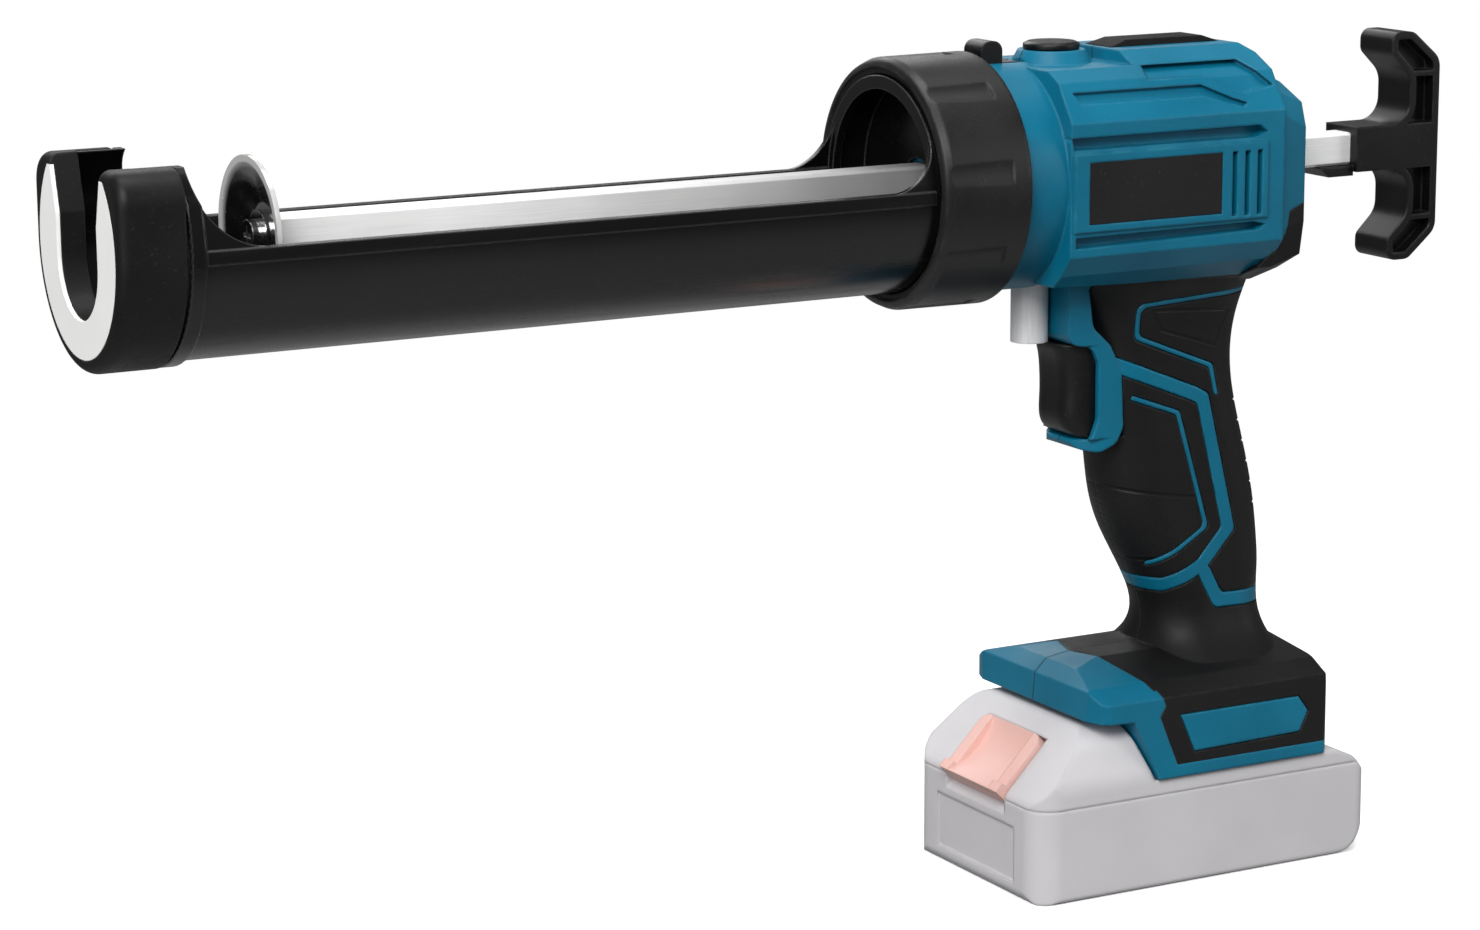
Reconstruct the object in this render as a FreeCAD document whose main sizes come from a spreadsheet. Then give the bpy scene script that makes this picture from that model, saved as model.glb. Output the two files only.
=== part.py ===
"""A cordless caulking tool, built piece by piece.

Every piece is drawn in the barrel's frame: x runs back from the collar's front face, z up from the
barrel's axis, and y to the tool's right. Each piece's placement then carries it to the part's own frame,
whose origin is the middle of the battery's standing face. Lengths are millimetres.
"""
import FreeCAD, Part
import Sketcher
import functools
import math
import os
import re

V = FreeCAD.Vector

SIZES = {
    # Clearances and overruns
    "cut_overrun": 2.0,
    "seat_gap": 0.1,
    "running_gap": 0.4,
    "slide_gap": 0.2,
    "shaft_gap": 0.05,
    # How the tool stands: barrel axis over base, rail and standing face
    "grip_drop": 150.0,
    "base_height": 40.0,
    "battery_height": 36.0,
    "battery_centre": 99.0,
    # Cradle: the half tube that a cartridge lies in
    "cradle_reach": 233.0,
    "cradle_radius": 33.2,
    "cradle_wall": 1.6,
    "rim_rise": 1.7,
    "rim_fold": 3.6,
    "nose_gusset_radius": 22.0,
    "cup_gusset_radius": 15.5,
    "hem_height": 4.0,
    "hem_proud": 0.8,
    "spigot_length": 14.0,
    "bead_width": 5.0,
    "bead_height": 1.4,
    "arm_height": 24.0,
    "cup_depth": 15.0,
    "cup_wall": 2.0,
    "cup_lip_width": 4.2,
    "cup_lip_depth": 3.0,
    "cup_flange_height": 2.2,
    "cup_flange_depth": 3.4,
    # Nose cap and its pale face
    "cap_radius": 34.75,
    "cap_length": 19.0,
    "cap_gap": 1.0,
    "cap_edge_round": 3.2,
    "arm_round": 9.0,
    "nozzle_slot_width": 33.0,
    "nozzle_slot_drop": 3.5,
    "nozzle_flare": 4.4,
    "nozzle_flare_height": 16.0,
    "face_margin": 4.0,
    "face_tip_drop": 3.0,
    "face_sheet": 1.2,
    # Rack rod
    "rod_width": 9.0,
    "rod_height": 10.5,
    "rod_bevel": 0.9,
    "rod_reach": 199.0,
    "rod_tail": 188.0,
    "rack_module": 1.5,
    # Pusher
    "pusher_radius": 22.6,
    "pusher_sheet": 1.4,
    "pusher_flat_radius": 9.0,
    "pusher_dish_depth": 5.0,
    "pusher_rim_width": 2.0,
    "washer_radius": 7.0,
    "washer_thickness": 2.2,
    "pusher_screw_radius": 2.4,
    "pusher_screw_length": 14.0,
    "pusher_head_radius": 4.4,
    "pusher_head_height": 3.0,
    "drive_recess_width": 1.1,
    "drive_recess_depth": 1.6,
    # Collar
    "collar_radius": 38.6,
    "collar_flare": 0.25,
    "collar_length": 30.0,
    "collar_step": 2.0,
    "collar_groove": 1.2,
    "collar_lip": 3.0,
    "scallop_radius": 14.0,
    "scallop_depth": 0.5,
    # Housing body
    "body_length": 94.0,
    "body_width": 73.0,
    "body_top": 38.0,
    "body_bottom": 38.0,
    "band_radius": 35.5,
    "band_length": 15.0,
    "nose_wall": 3.5,
    "nose_bore": 31.0,
    "skin": 1.4,
    "wall": 2.2,
    "cover_length": 12.0,
    "groove_depth": 4.0,
    "frame_proud": 0.9,
    "plate_recess": 1.2,
    "panel_recess": 1.8,
    "shelf_recess": 1.4,
    "vent_width": 2.0,
    "top_dip": 4.0,
    # Handle and trigger surround
    "handle_width": 32.0,
    "handle_corner": 15.4,
    "handle_reach": 148.0,
    "strip_width": 4.4,
    "thin_strip_width": 1.3,
    "strip_round": 2.4,
    "strip_seam": 0.4,
    "strip_seam_depth": 0.7,
    "rib_groove": 0.9,
    "rib_groove_height": 1.5,
    "rib_groove_reach": 6.0,
    "surround_width": 28.0,
    "surround_round": 12.0,
    "shelf_setback": 5.0,
    # Base under the handle
    "base_front": 57.0,
    "base_length": 89.0,
    "base_width": 78.0,
    "base_floor": 2.6,
    # Top controls
    "dial_place": 61.4,
    "dial_radius": 8.8,
    "dial_height": 2.1,
    "dial_stem_radius": 3.0,
    "dial_rib_width": 0.7,
    "dial_rib_depth": 0.5,
    "boss_radius": 10.4,
    "boss_flare": 4.2,
    "pot_width": 14.0,
    "pot_height": 7.0,
    "catch_length": 7.6,
    "catch_setback": 2.0,
    "catch_round": 3.2,
    "catch_width": 10.0,
    "catch_rise": 6.5,
    "catch_foot": 2.6,
    "catch_foot_reach": 6.0,
    "catch_travel": 3.0,
    "pad_start": 78.5,
    "pad_length": 41.0,
    "pad_width": 14.0,
    "pad_height": 2.0,
    # Release plunger
    "plunger_place": 54.3,
    "plunger_radius": 5.9,
    "plunger_bottom": 53.2,
    "plunger_stem_radius": 2.4,
    "plunger_seat": 28.3,
    "plunger_stem_top": 12.5,
    "plunger_travel": 5.0,
    "plunger_flange_radius": 7.4,
    "plunger_flange": 1.6,
    "release_wire": 1.0,
    "release_coil_radius": 4.2,
    # Trigger and its switch
    "trigger_width": 23.0,
    "trigger_depth": 17.4,
    "trigger_top": 54.0,
    "trigger_tall": 30.0,
    "trigger_front": 60.2,
    "trigger_round": 10.5,
    "trigger_travel": 7.0,
    "switch_length": 26.0,
    "switch_width": 16.0,
    "switch_height": 22.0,
    "switch_button_radius": 3.0,
    "switch_button_reach": 9.0,
    "switch_rib": 2.0,
    # Drive train
    "pinion_place": 70.0,
    "pinion_width": 8.0,
    "gear_module": 1.0,
    "gear_width": 5.0,
    "gear_backlash": 0.35,
    "shaft_radius": 3.0,
    "motor_drop": 18.0,
    "motor_radius": 11.2,
    "motor_length": 26.0,
    "motor_boss_radius": 5.0,
    "motor_boss": 3.0,
    "gearbox_radius": 11.2,
    "gearbox_length": 9.9,
    "output_radius": 2.5,
    "output_reach": 6.0,
    "plate_thickness": 2.0,
    "plate_spacing": 24.0,
    "plate_front": 50.0,
    "plate_rear": 79.0,
    "bush_radius": 5.0,
    "bush_flange_radius": 6.5,
    "bush_flange": 0.8,
    "post_radius": 3.0,
    "guide_length": 7.4,
    "guide_height": 18.0,
    "guide_drop": 14.0,
    "rear_guide_width": 18.0,
    # Fasteners of the housing
    "screw_radius": 1.5,
    "screw_head_radius": 3.0,
    "screw_head_height": 2.2,
    "screw_post_radius": 4.0,
    "screw_seat": 9.0,
    "screw_length": 20.0,
    "screw_well_radius": 3.4,
    # Electronics in the base
    "board_length": 44.0,
    "board_width": 44.0,
    "board_sheet": 1.6,
    "terminal_place": 98.0,
    "terminal_length": 30.0,
    "terminal_width": 40.0,
    "terminal_height": 8.0,
    "blade_sheet": 0.8,
    "blade_length": 18.0,
    "blade_reach": 5.5,
    "blade_spacing": 24.0,
    # T grip on the rod's tail
    "t_height": 75.6,
    "t_depth": 32.5,
    "t_width": 17.0,
    "t_back": 206.5,
    "t_pocket": 4.5,
    "t_rim": 2.4,
    "t_rib": 1.8,
    "tongue_reach": 13.0,
    "tongue_sheet": 3.2,
    "tongue_margin": 2.0,
    "pin_radius": 2.0,
    "pin_place": 180.0,
    # Battery
    "battery_length": 127.0,
    "battery_width": 75.0,
    "battery_front_corner": 9.0,
    "battery_rear_corner": 4.5,
    "battery_wall": 2.4,
    "seam_drop": 5.0,
    "cell_radius": 9.15,
    "cell_length": 65.0,
    "rail_start": 84.0,
    "rail_length": 54.0,
    "rail_width": 52.0,
    "rail_neck": 46.0,
    "rail_rise": 9.0,
    "rail_lip": 3.6,
    "contact_slot": 3.2,
    "contact_sheet": 0.6,
    "latch_width": 34.0,
    "latch_length": 20.0,
    "latch_start": 2.5,
    "latch_depth": 4.0,
    "latch_proud": 1.8,
    "latch_lip": 3.4,
    "latch_scoop": 22.0,
    "latch_travel": 4.0,
    "latch_round": 4.0,
    "badge_width": 46.0,
    "badge_height": 18.0,
    "badge_rise": 5.0,
    "badge_recess": 0.6,
    "battery_screw_inset": 8.0,
    "battery_screw_spread": 50.0,
}

RACK_GAPS_AHEAD = 42
RACK_GAPS_BEHIND = 7
PINION_TEETH = 12
WHEEL_TEETH = 30
DRIVE_TEETH = 14
PRESSURE_ANGLE = 20.0
TIP_SHARE = 0.7
ROOT_SHARE = 0.95
SCALLOPS = 9
CELLS = 5
RIB_GROOVES = 6
RELEASE_TURNS = 5
DIAL_RIBS = 9

# Outlines, as shares of the sizes that each one follows
BODY_SIDE_SHARES = [(0, 1), (0.97, 1), (1, 0.93), (1, -0.84), (0.93, -0.92), (0, -0.825)]
BODY_SECTION_SHARES = [(0.4, 1), (0.79, 0.81), (1, 0.5), (1, -0.57), (0.86, -0.74), (0.62, -0.93)]
COVER_FRONT_SHARES = [(0.5, 0.8), (0.86, 0.64), (0.96, 0.46), (0.96, -0.5), (0.84, -0.82), (0.54, -0.96)]
COVER_REAR_SHARES = [(0.46, 0.66), (0.78, 0.52), (0.85, 0.32), (0.85, -0.46), (0.8, -0.74), (0.47, -0.9)]
FRAME_SHARES = [(0.172, 0.26), (0.93, 0.26), (0.93, -0.37), (0.172, -0.37)]
NAMEPLATE_SHARES = [(0.225, 0.19), (0.745, 0.19), (0.745, -0.31), (0.225, -0.31)]
UPPER_GROOVE_SHARES = [(0.17, 0.29), (0.16, 0.39), (0.9, 0.39), (0.93, 0.33), (0.88, 0.29)]
LOWER_GROOVE_SHARES = [(0.18, -0.41), (0.18, -0.5), (0.9, -0.47), (0.93, -0.43), (0.88, -0.4)]
PANEL_SHARES = [(0.52, 0.89), (0.9, 0.89), (0.985, 0.69), (0.86, 0.64), (0.8, 0.69), (0.73, 0.79), (0.5, 0.79)]
SHELF_SHARES = [(0.2, 0.73), (0.7, 0.73), (0.8, 0.62), (0.86, 0.57), (0.84, 0.54), (0.7, 0.64), (0.22, 0.64)]
VENT_SHARES = [0.785, 0.835, 0.885]
VENT_SPAN_SHARES = (0.19, -0.34)
HANDLE_SHARES = [
    (0.17, 0.43, 0.875, 1.5), (0.265, 0.455, 0.871, 1.28), (0.315, 0.475, 0.867, 1.1),
    (0.385, 0.488, 0.86, 1.02), (0.5, 0.506, 0.871, 1), (0.6, 0.528, 0.897, 1), (0.69, 0.541, 0.92, 1),
    (0.8, 0.581, 0.938, 1), (0.89, 0.632, 0.944, 1), (0.985, 0.662, 0.945, 1.08), (1.035, 0.652, 0.955, 1.35),
    (1.075, 0.63, 0.965, 1.75)]
SURROUND_SHARES = [
    (0.405, 0.2), (0.405, 0.355), (0.466, 0.362), (0.483, 0.4), (0.483, 0.52), (0.466, 0.563),
    (0.44, 0.565), (0.45, 0.584), (0.49, 0.59), (0.53, 0.572), (0.546, 0.54), (0.54, 0.42), (0.51, 0.362),
    (0.466, 0.322), (0.45, 0.2)]
BLACK_BODY_SHARES = [
    (0.443, 0.22), (0.79, 0.225), (0.862, 0.14), (0.872, 0.09), (0.93, 0.075), (0.96, 0.075),
    (0.96, 0.4), (0.443, 0.4)]
BLACK_HANDLE_SHARES = [(0.3, 0.33), (1.1, 0.33), (1.1, 1.0), (0.3, 1.0)]
STRIP_SHARES = [
    (0.51, 0.4), (0.718, 0.482), (0.742, 0.495), (0.815, 0.783), (0.745, 0.858), (0.665, 0.898), (0.54, 0.9)]
BRANCH_SHARES = [(0.748, 0.862), (0.792, 0.94), (1.05, 0.946)]
INNER_STRIP_SHARES = [(0.562, 0.478), (0.678, 0.52), (0.757, 0.774), (0.628, 0.85)]
UPPER_STRIP_SHARES = [(0.87, 0.262), (0.56, 0.28), (0.568, 0.35), (0.76, 0.425), (0.777, 0.49)]
RIB_SHARES = (0.51, 0.046)
BASE_SIDE_SHARES = [
    (0, 0.5), (0.008, 0.27), (0.06, 0.165), (0.25, 0.11), (0.93, 0.11), (0.985, 0.24), (0.995, 0.5), (1, 1),
    (0.255, 1), (0.158, 0.512)]
BASE_SECTION_SHARES = [(0.3, 0.13), (0.77, 0.255), (0.95, 0.355), (1, 1)]
BASE_PLAN_SHARES = [(1, 0.93), (0.97, 1), (0.09, 1), (0.026, 0.92), (0, 0.77)]
BLACK_BASE_SHARES = [(0.275, 0.31), (0.29, 0.42), (0.265, 0.5), (0.333, 0.9), (1.02, 0.9), (1.02, 0.31)]
BLACK_TOP_SHARES = [(1.02, 1.02), (0.28, 1.02), (0.255, 0.8), (0.16, 0.05)]
HEX_SHARES = [(0.355, 0.51), (0.865, 0.51), (0.905, 0.635), (0.865, 0.79), (0.41, 0.81)]
PAD_SHARES = [(0, 0), (0.16, 1), (0.86, 1), (1, 0)]
PAD_TOP_SHARE = 0.84
TRIGGER_SHARES = [
    (0, 0.02), (0.12, 0.06), (0.34, 0.12), (0.58, 0.13), (0.76, 0.12), (0.87, 0.16), (0.95, 0.27), (1, 0.42)]
BATTERY_SIDE_SHARES = [
    (0.012, 0, 0.03), (0, 0.06, 0.08), (0, 0.88, 0.15), (0.168, 1.49, 0.12), (0.28, 1.49, 0.03),
    (0.343, 0.985, 0), (0.9, 0.985, 0.1), (0.95, 0.92, 0.2), (1, 0.72, 0.2), (1, 0.3, 0.2),
    (0.955, 0.06, 0.2), (0.91, 0, 0.1)]
BATTERY_SECTION_SHARES = [(0.84, 1.49, 0.3), (1, 1.04, 0.45), (1, 0, 0.05)]
T_SHARES = [
    (0, 0, 0), (0, 0.37, 0.08), (-0.34, 0.492, 0.06), (-0.6, 0.492, 0.05), (-0.6, 0.4, 0.045),
    (-0.36, 0.3, 0.1), (-0.36, 0.096, 0.11), (-1, 0.096, 0)]
T_RIB_SHARE = 0.31
TONGUE_SHARES = [(0, 0), (1, 0), (0.75, -1), (0, -1)]
SCREW_SHARES = [(0.28, -0.165), (0.74, -0.16), (0.272, 0.16), (0.8, 0.5), (0.74, 0.83), (0.58, 1.11)]
SWITCH_RIB_SHARES = (0.15, 0.75)
LATCH_SCOOP_SHARE = 0.7
ROUND_REACH_SHARE = 0.48
DRIVE_RECESS_SHARE = 0.6
COLLAR_LIP_SHARE = 0.3
DIAL_RIB_SLANT = 45.0
BATTERY_SCREW_SHARE = 0.83
POST_SHARES = [(0.18, 0.46), (0.82, 0.46), (0.9, -0.67)]

doc = FreeCAD.newDocument("cordless_caulking_tool")
sheet = doc.addObject("Spreadsheet::Sheet", "Sizes")
for row, (alias, value) in enumerate(SIZES.items(), start=1):
    sheet.set(f"A{row}", alias)
    sheet.set(f"B{row}", str(value))
    sheet.setAlias(f"B{row}", alias)
doc.recompute()
PIECES = []


class SheetSizes:
    """The sheet's values by name, for shapes that are worked out in code."""


d = SheetSizes()
for alias in SIZES:
    setattr(d, alias, float(sheet.get(alias)))


def formula(text):
    """A formula in size names, turned into references to the sheet."""
    return re.sub(r"[a-z][a-z_]*", lambda word: "Sizes." + word[0] if word[0] in SIZES else word[0], text)


def bind(thing, **formulas):
    for name, text in formulas.items():
        thing.setExpression(name.replace("__", "."), formula(text))


def piece(label, thing, along="0", rise="0"):
    """Names a sub-part and carries it from the barrel's frame to the part's own."""
    thing.Label = label
    bind(thing, Placement__Base__x=f"{along}-battery_centre",
         Placement__Base__z=f"{rise}+grip_drop+base_height+battery_height")
    PIECES.append(thing)


def solid(label, shape):
    """A sub-part whose shape is worked out in code from the sheet's values."""
    thing = doc.addObject("Part::Feature", label + "_shape")
    thing.Shape = shape
    piece(label, thing)


def box(label, *spans):
    """A block between two formulas on each axis."""
    block = doc.addObject("Part::Box", label)
    for side, place, (low, high) in zip(("Length", "Width", "Height"), "xyz", spans):
        block.setExpression(side, formula(f"({high})-({low})"))
        block.setExpression(f"Placement.Base.{place}", formula(low))
    return block


TURNS = {"x": FreeCAD.Rotation(V(0, 1, 0), 90),
         "y": FreeCAD.Rotation(V(1, 0, 0), -90),
         "z": FreeCAD.Rotation()}
WAYS = {"x": V(1, 0, 0), "y": V(0, 1, 0), "z": V(0, 0, 1)}


def round_bar(label, axis, radius, low, high, *centre):
    """A cylinder along an axis between two formulas, with its centre on the two other axes."""
    cylinder = doc.addObject("Part::Cylinder", label)
    cylinder.Placement.Rotation = TURNS[axis]
    bind(cylinder, Radius=radius, Height=f"({high})-({low})")
    spots = iter(centre)
    for place in "xyz":
        cylinder.setExpression(f"Placement.Base.{place}", formula(low if place == axis else next(spots)))
    return cylinder


def cut(label, base, *tools):
    for number, tool in enumerate(tools):
        step = doc.addObject("Part::Cut", f"{label}_cut_{number}")
        step.Base = base
        step.Tool = tool
        base = step
    return base


def fuse(label, *things):
    joined = doc.addObject("Part::MultiFuse", f"{label}_joined")
    joined.Shapes = list(things)
    return joined


def group(label, things):
    gathered = doc.addObject("Part::Compound", f"{label}_group")
    gathered.Links = list(things)
    return gathered


def corner(before, at, after, radius):
    """The tangent arc that rounds one corner: its start, middle and end."""
    back = (before - at).normalize()
    ahead = (after - at).normalize()
    half = back.getAngle(ahead) / 2
    inward = (back + ahead).normalize()
    room = ROUND_REACH_SHARE * min(before.distanceToPoint(at), after.distanceToPoint(at))
    reach = min(radius / math.tan(half), room)
    radius = reach * math.tan(half)
    return at + back * reach, at + inward * (radius / math.sin(half) - radius), at + ahead * reach


PLANES = {"xz": lambda u, v: V(u, 0, v), "yz": lambda u, v: V(0, u, v), "xy": lambda u, v: V(u, v, 0)}
NORMALS = {"xz": V(0, 1, 0), "yz": V(1, 0, 0), "xy": V(0, 0, 1)}


def outline(points, plane):
    """A closed wire through points, each with an optional radius that rounds it."""
    places = [PLANES[plane](point[0], point[1]) for point in points]
    count = len(points)
    arcs = []
    for number, point in enumerate(points):
        radius = point[2] if len(point) > 2 else 0
        here = places[number]
        if radius > 0:
            arcs.append(corner(places[number - 1], here, places[(number + 1) % count], radius))
        else:
            arcs.append((here, None, here))
    edges = []
    for number, (start, middle, end) in enumerate(arcs):
        if middle:
            edges.append(Part.Arc(start, middle, end).toShape())
        following = arcs[(number + 1) % count][0]
        edges.append(Part.LineSegment(end, following).toShape())
    return Part.Wire(edges)


def pushed(wire, plane, low, high):
    """A wire's face pushed along its plane's normal from low to high."""
    wire.translate(NORMALS[plane] * low)
    return Part.Face(wire).extrude(NORMALS[plane] * (high - low))


def prism(points, plane, low, high):
    return pushed(outline(points, plane), plane, low, high)


def inset(points, plane, depth):
    """An outline's wire drawn in by a depth."""
    wire = outline(points, plane)
    return wire.makeOffset2D(-depth, 2) if depth else wire


def slab(low, high):
    """A block from one corner to the other."""
    return Part.makeBox(high[0] - low[0], high[1] - low[1], high[2] - low[2], V(*low))


def bar(axis, radius, low, high, *centre):
    """A round bar along an axis between two places, with its centre on the two other axes."""
    spots = iter(centre)
    start = [low if place == axis else next(spots) for place in "xyz"]
    return Part.makeCylinder(radius, high - low, V(*start), WAYS[axis])


def joined(*shapes):
    return shapes[0].multiFuse(list(shapes[1:]))


def mirrored(points):
    """A half outline with its first share above zero, closed by its mirror image."""
    return list(points) + [(-point[0],) + tuple(point[1:]) for point in reversed(points)]


def eased(points, radius):
    """Points with one radius on every corner."""
    return [(u, v, radius) for u, v in points]


def ribbon(points, width):
    """A strip of a width along a line of points in the side view, with mitred bends."""
    half = width / 2
    rows = [[], []]
    for number, (x, z) in enumerate(points):
        runs = []
        if number > 0:
            runs.append(V(x - points[number - 1][0], z - points[number - 1][1], 0).normalize())
        if number < len(points) - 1:
            runs.append(V(points[number + 1][0] - x, points[number + 1][1] - z, 0).normalize())
        along = (runs[0] + runs[-1]).normalize()
        reach = half / along.dot(runs[0])
        rows[0].append((x - along.y * reach, z + along.x * reach))
        rows[1].append((x + along.y * reach, z - along.x * reach))
    return rows[0] + rows[1][::-1]


# Places that several pieces share
HALF_WIDTH = d.base_width / 2 + d.cut_overrun
BODY_FRONT = d.collar_length + d.running_gap
BODY_REAR = BODY_FRONT + d.body_length
SHELL = d.skin + d.wall
NOSE_FRONT = d.cup_depth + d.running_gap
NOSE_RADIUS = d.cradle_radius + d.cup_flange_height
CAP_REAR = -(d.cradle_reach + d.bead_width / 2 + d.cap_gap)
CAP_FRONT = CAP_REAR - d.cap_length
STAND = -(d.grip_drop + d.base_height + d.battery_height)
RAIL = -(d.grip_drop + d.base_height)
DIP = d.body_top - d.top_dip
PINION_DROP = d.rod_height / 2 - TIP_SHARE * d.rack_module + PINION_TEETH / 2 * d.rack_module
GEAR_REACH = (WHEEL_TEETH + DRIVE_TEETH) / 2 * d.gear_module
MOTOR_PLACE = d.pinion_place + math.sqrt(GEAR_REACH ** 2 - (d.motor_drop - PINION_DROP) ** 2)
PINION_DROP_TEXT = f"(rod_height/2-{TIP_SHARE}*rack_module+{PINION_TEETH}/2*rack_module)"
GEAR_REACH_TEXT = f"({WHEEL_TEETH}+{DRIVE_TEETH})/2*gear_module"
MOTOR_PLACE_TEXT = f"(pinion_place+sqrt(({GEAR_REACH_TEXT})^2-(motor_drop-{PINION_DROP_TEXT})^2))"
SWITCH_FRONT_TEXT = "(trigger_front+trigger_depth+trigger_travel+running_gap)"
SWITCH_FRONT = d.trigger_front + d.trigger_depth + d.trigger_travel + d.running_gap
SWITCH_TOP = -(d.trigger_top + d.trigger_tall / 2 - d.switch_height / 2)
FLOOR_TEXT = "(rail_rise+running_gap+base_floor-grip_drop-base_height)"
FLOOR = RAIL + d.rail_rise + d.running_gap + d.base_floor


def cradle():
    """Half tube with folded rims, gussets at both ends, a front bead and a round cup at the back."""
    radius = d.cradle_radius
    bore = radius - d.cradle_wall
    front = -(d.cradle_reach + d.spigot_length)
    bead_front = -(d.cradle_reach + d.bead_width / 2)
    bead_rear = bead_front + d.bead_width
    bead_round = d.bead_height / 2
    crest = radius + d.bead_height
    flange = d.cup_depth - d.cup_flange_depth
    cup_floor = d.cup_depth - d.cup_wall
    lip = radius - d.cup_lip_width
    rod_hole = math.hypot(d.rod_width, d.rod_height) / 2 + d.running_gap
    profile = [
        (front, bore), (front, radius), (bead_front, radius), (bead_front, crest, bead_round),
        (bead_rear, crest, bead_round), (bead_rear, radius), (flange, radius), (flange, NOSE_RADIUS),
        (d.cup_depth, NOSE_RADIUS), (d.cup_depth, rod_hole), (cup_floor, rod_hole), (cup_floor, bore),
        (d.cup_lip_depth, bore), (d.cup_lip_depth, lip), (0, lip), (0, bore)]
    tube = Part.Face(outline(profile, "xz")).revolve(V(0, 0, 0), WAYS["x"], 360)
    sky = NOSE_RADIUS + d.cut_overrun
    bay = prism([(-d.cradle_reach, 2 * sky), (-d.cradle_reach, d.rim_rise, d.nose_gusset_radius),
                 (0, d.rim_rise, d.cup_gusset_radius), (0, 2 * sky)], "xz", -sky, sky)
    arms = d.arm_height - d.seat_gap
    nose_top = slab((front - d.cut_overrun, -sky, arms), (-d.cradle_reach + d.cut_overrun, sky, sky))
    hem_low = d.rim_rise - d.hem_height
    hems = [slab((bead_rear, low, hem_low), (-d.running_gap, low + d.rim_fold, d.rim_rise))
            for low in (radius + d.hem_proud - d.rim_fold, -radius - d.hem_proud)]
    return joined(tube.cut(bay).cut(nose_top), *hems)


def horseshoe(low, high):
    """The nose's outline without its slot: a half disc below, two arms with rounded tops above."""
    radius = d.cap_radius
    arms = prism([(-radius, 0), (-radius, d.arm_height, d.arm_round), (radius, d.arm_height, d.arm_round),
                  (radius, 0)], "yz", low, high)
    above = slab((low - d.cut_overrun, -radius, 0), (high + d.cut_overrun, radius, radius))
    return bar("x", radius, low, high, 0, 0).cut(above).fuse(arms)


def face_disc(gap, low, high):
    """A disc inside the nose's edge, cut flat under the arms' tops."""
    radius = d.cap_radius - d.face_margin + gap
    top = d.arm_height - d.face_tip_drop + gap
    return bar("x", radius, low, high, 0, 0).common(slab((low, -radius, -radius), (high, radius, top)))


def nozzle_slot():
    """A round-bottomed slot that flares towards the arms' tops."""
    half = d.nozzle_slot_width / 2
    low = CAP_FRONT - d.cut_overrun
    high = CAP_REAR + d.cut_overrun
    mouth = half + d.nozzle_flare
    notch = prism(mirrored([(half, -d.nozzle_slot_drop), (half, d.arm_height - d.nozzle_flare_height),
                            (mouth, d.arm_height), (mouth, d.arm_height + d.cut_overrun)]), "yz", low, high)
    return bar("x", half, low, high, 0, -d.nozzle_slot_drop).fuse(notch)


def front_cap():
    """Black horseshoe with a rounded front edge, the nozzle slot, and a seat for the cradle's end."""
    block = horseshoe(CAP_FRONT, CAP_REAR).removeSplitter()
    front_edges = [edge for edge in block.Edges if edge.BoundBox.XMax < CAP_FRONT + d.seat_gap]
    block = block.makeFillet(d.cap_edge_round, front_edges)
    spigot_front = -(d.cradle_reach + d.spigot_length)
    seat = bar("x", d.cradle_radius + d.seat_gap, spigot_front, CAP_REAR + d.cut_overrun, 0, 0)
    recess = face_disc(d.seat_gap, CAP_FRONT - d.cut_overrun, CAP_FRONT + d.face_sheet)
    return block.cut(nozzle_slot()).cut(seat).cut(recess)


def front_face():
    """Pale crescent that lies flush in the nose's front."""
    return face_disc(0, CAP_FRONT, CAP_FRONT + d.face_sheet).cut(nozzle_slot())


def rack_rod():
    """Plated bar with bevelled edges and a rack cut along its underside."""
    half_height = d.rod_height / 2
    half_width = d.rod_width / 2
    pitch = math.pi * d.rack_module
    slope = math.tan(math.radians(PRESSURE_ANGLE))
    middle = pitch / 4 + d.gear_backlash / 4
    mouth = middle + TIP_SHARE * d.rack_module * slope
    bottom = middle - ROOT_SHARE * d.rack_module * slope
    root = -half_height + (TIP_SHARE + ROOT_SHARE) * d.rack_module
    points = [(-d.rod_reach, -half_height), (-d.rod_reach, half_height), (d.rod_tail, half_height),
              (d.rod_tail, -half_height)]
    for number in range(RACK_GAPS_BEHIND, -RACK_GAPS_AHEAD - 1, -1):
        centre = d.pinion_place + number * pitch
        points += [(centre + mouth, -half_height), (centre + bottom, root), (centre - bottom, root),
                   (centre - mouth, -half_height)]
    section = mirrored([(half_width - d.rod_bevel, half_height), (half_width, half_height - d.rod_bevel),
                        (half_width, d.rod_bevel - half_height), (half_width - d.rod_bevel, -half_height)])
    blank = prism(points, "xz", -half_width, half_width)
    bevelled = blank.common(prism(section, "yz", -d.rod_reach, d.rod_tail))
    screw_hole = bar("x", d.pusher_screw_radius + d.seat_gap, -d.rod_reach - d.cut_overrun,
                     d.pusher_screw_length + d.seat_gap - d.rod_reach, 0, 0)
    pin_hole = bar("y", d.pin_radius + d.shaft_gap, -d.rod_width, d.rod_width, d.pin_place, 0)
    return bevelled.cut(screw_hole).cut(pin_hole)


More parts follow.
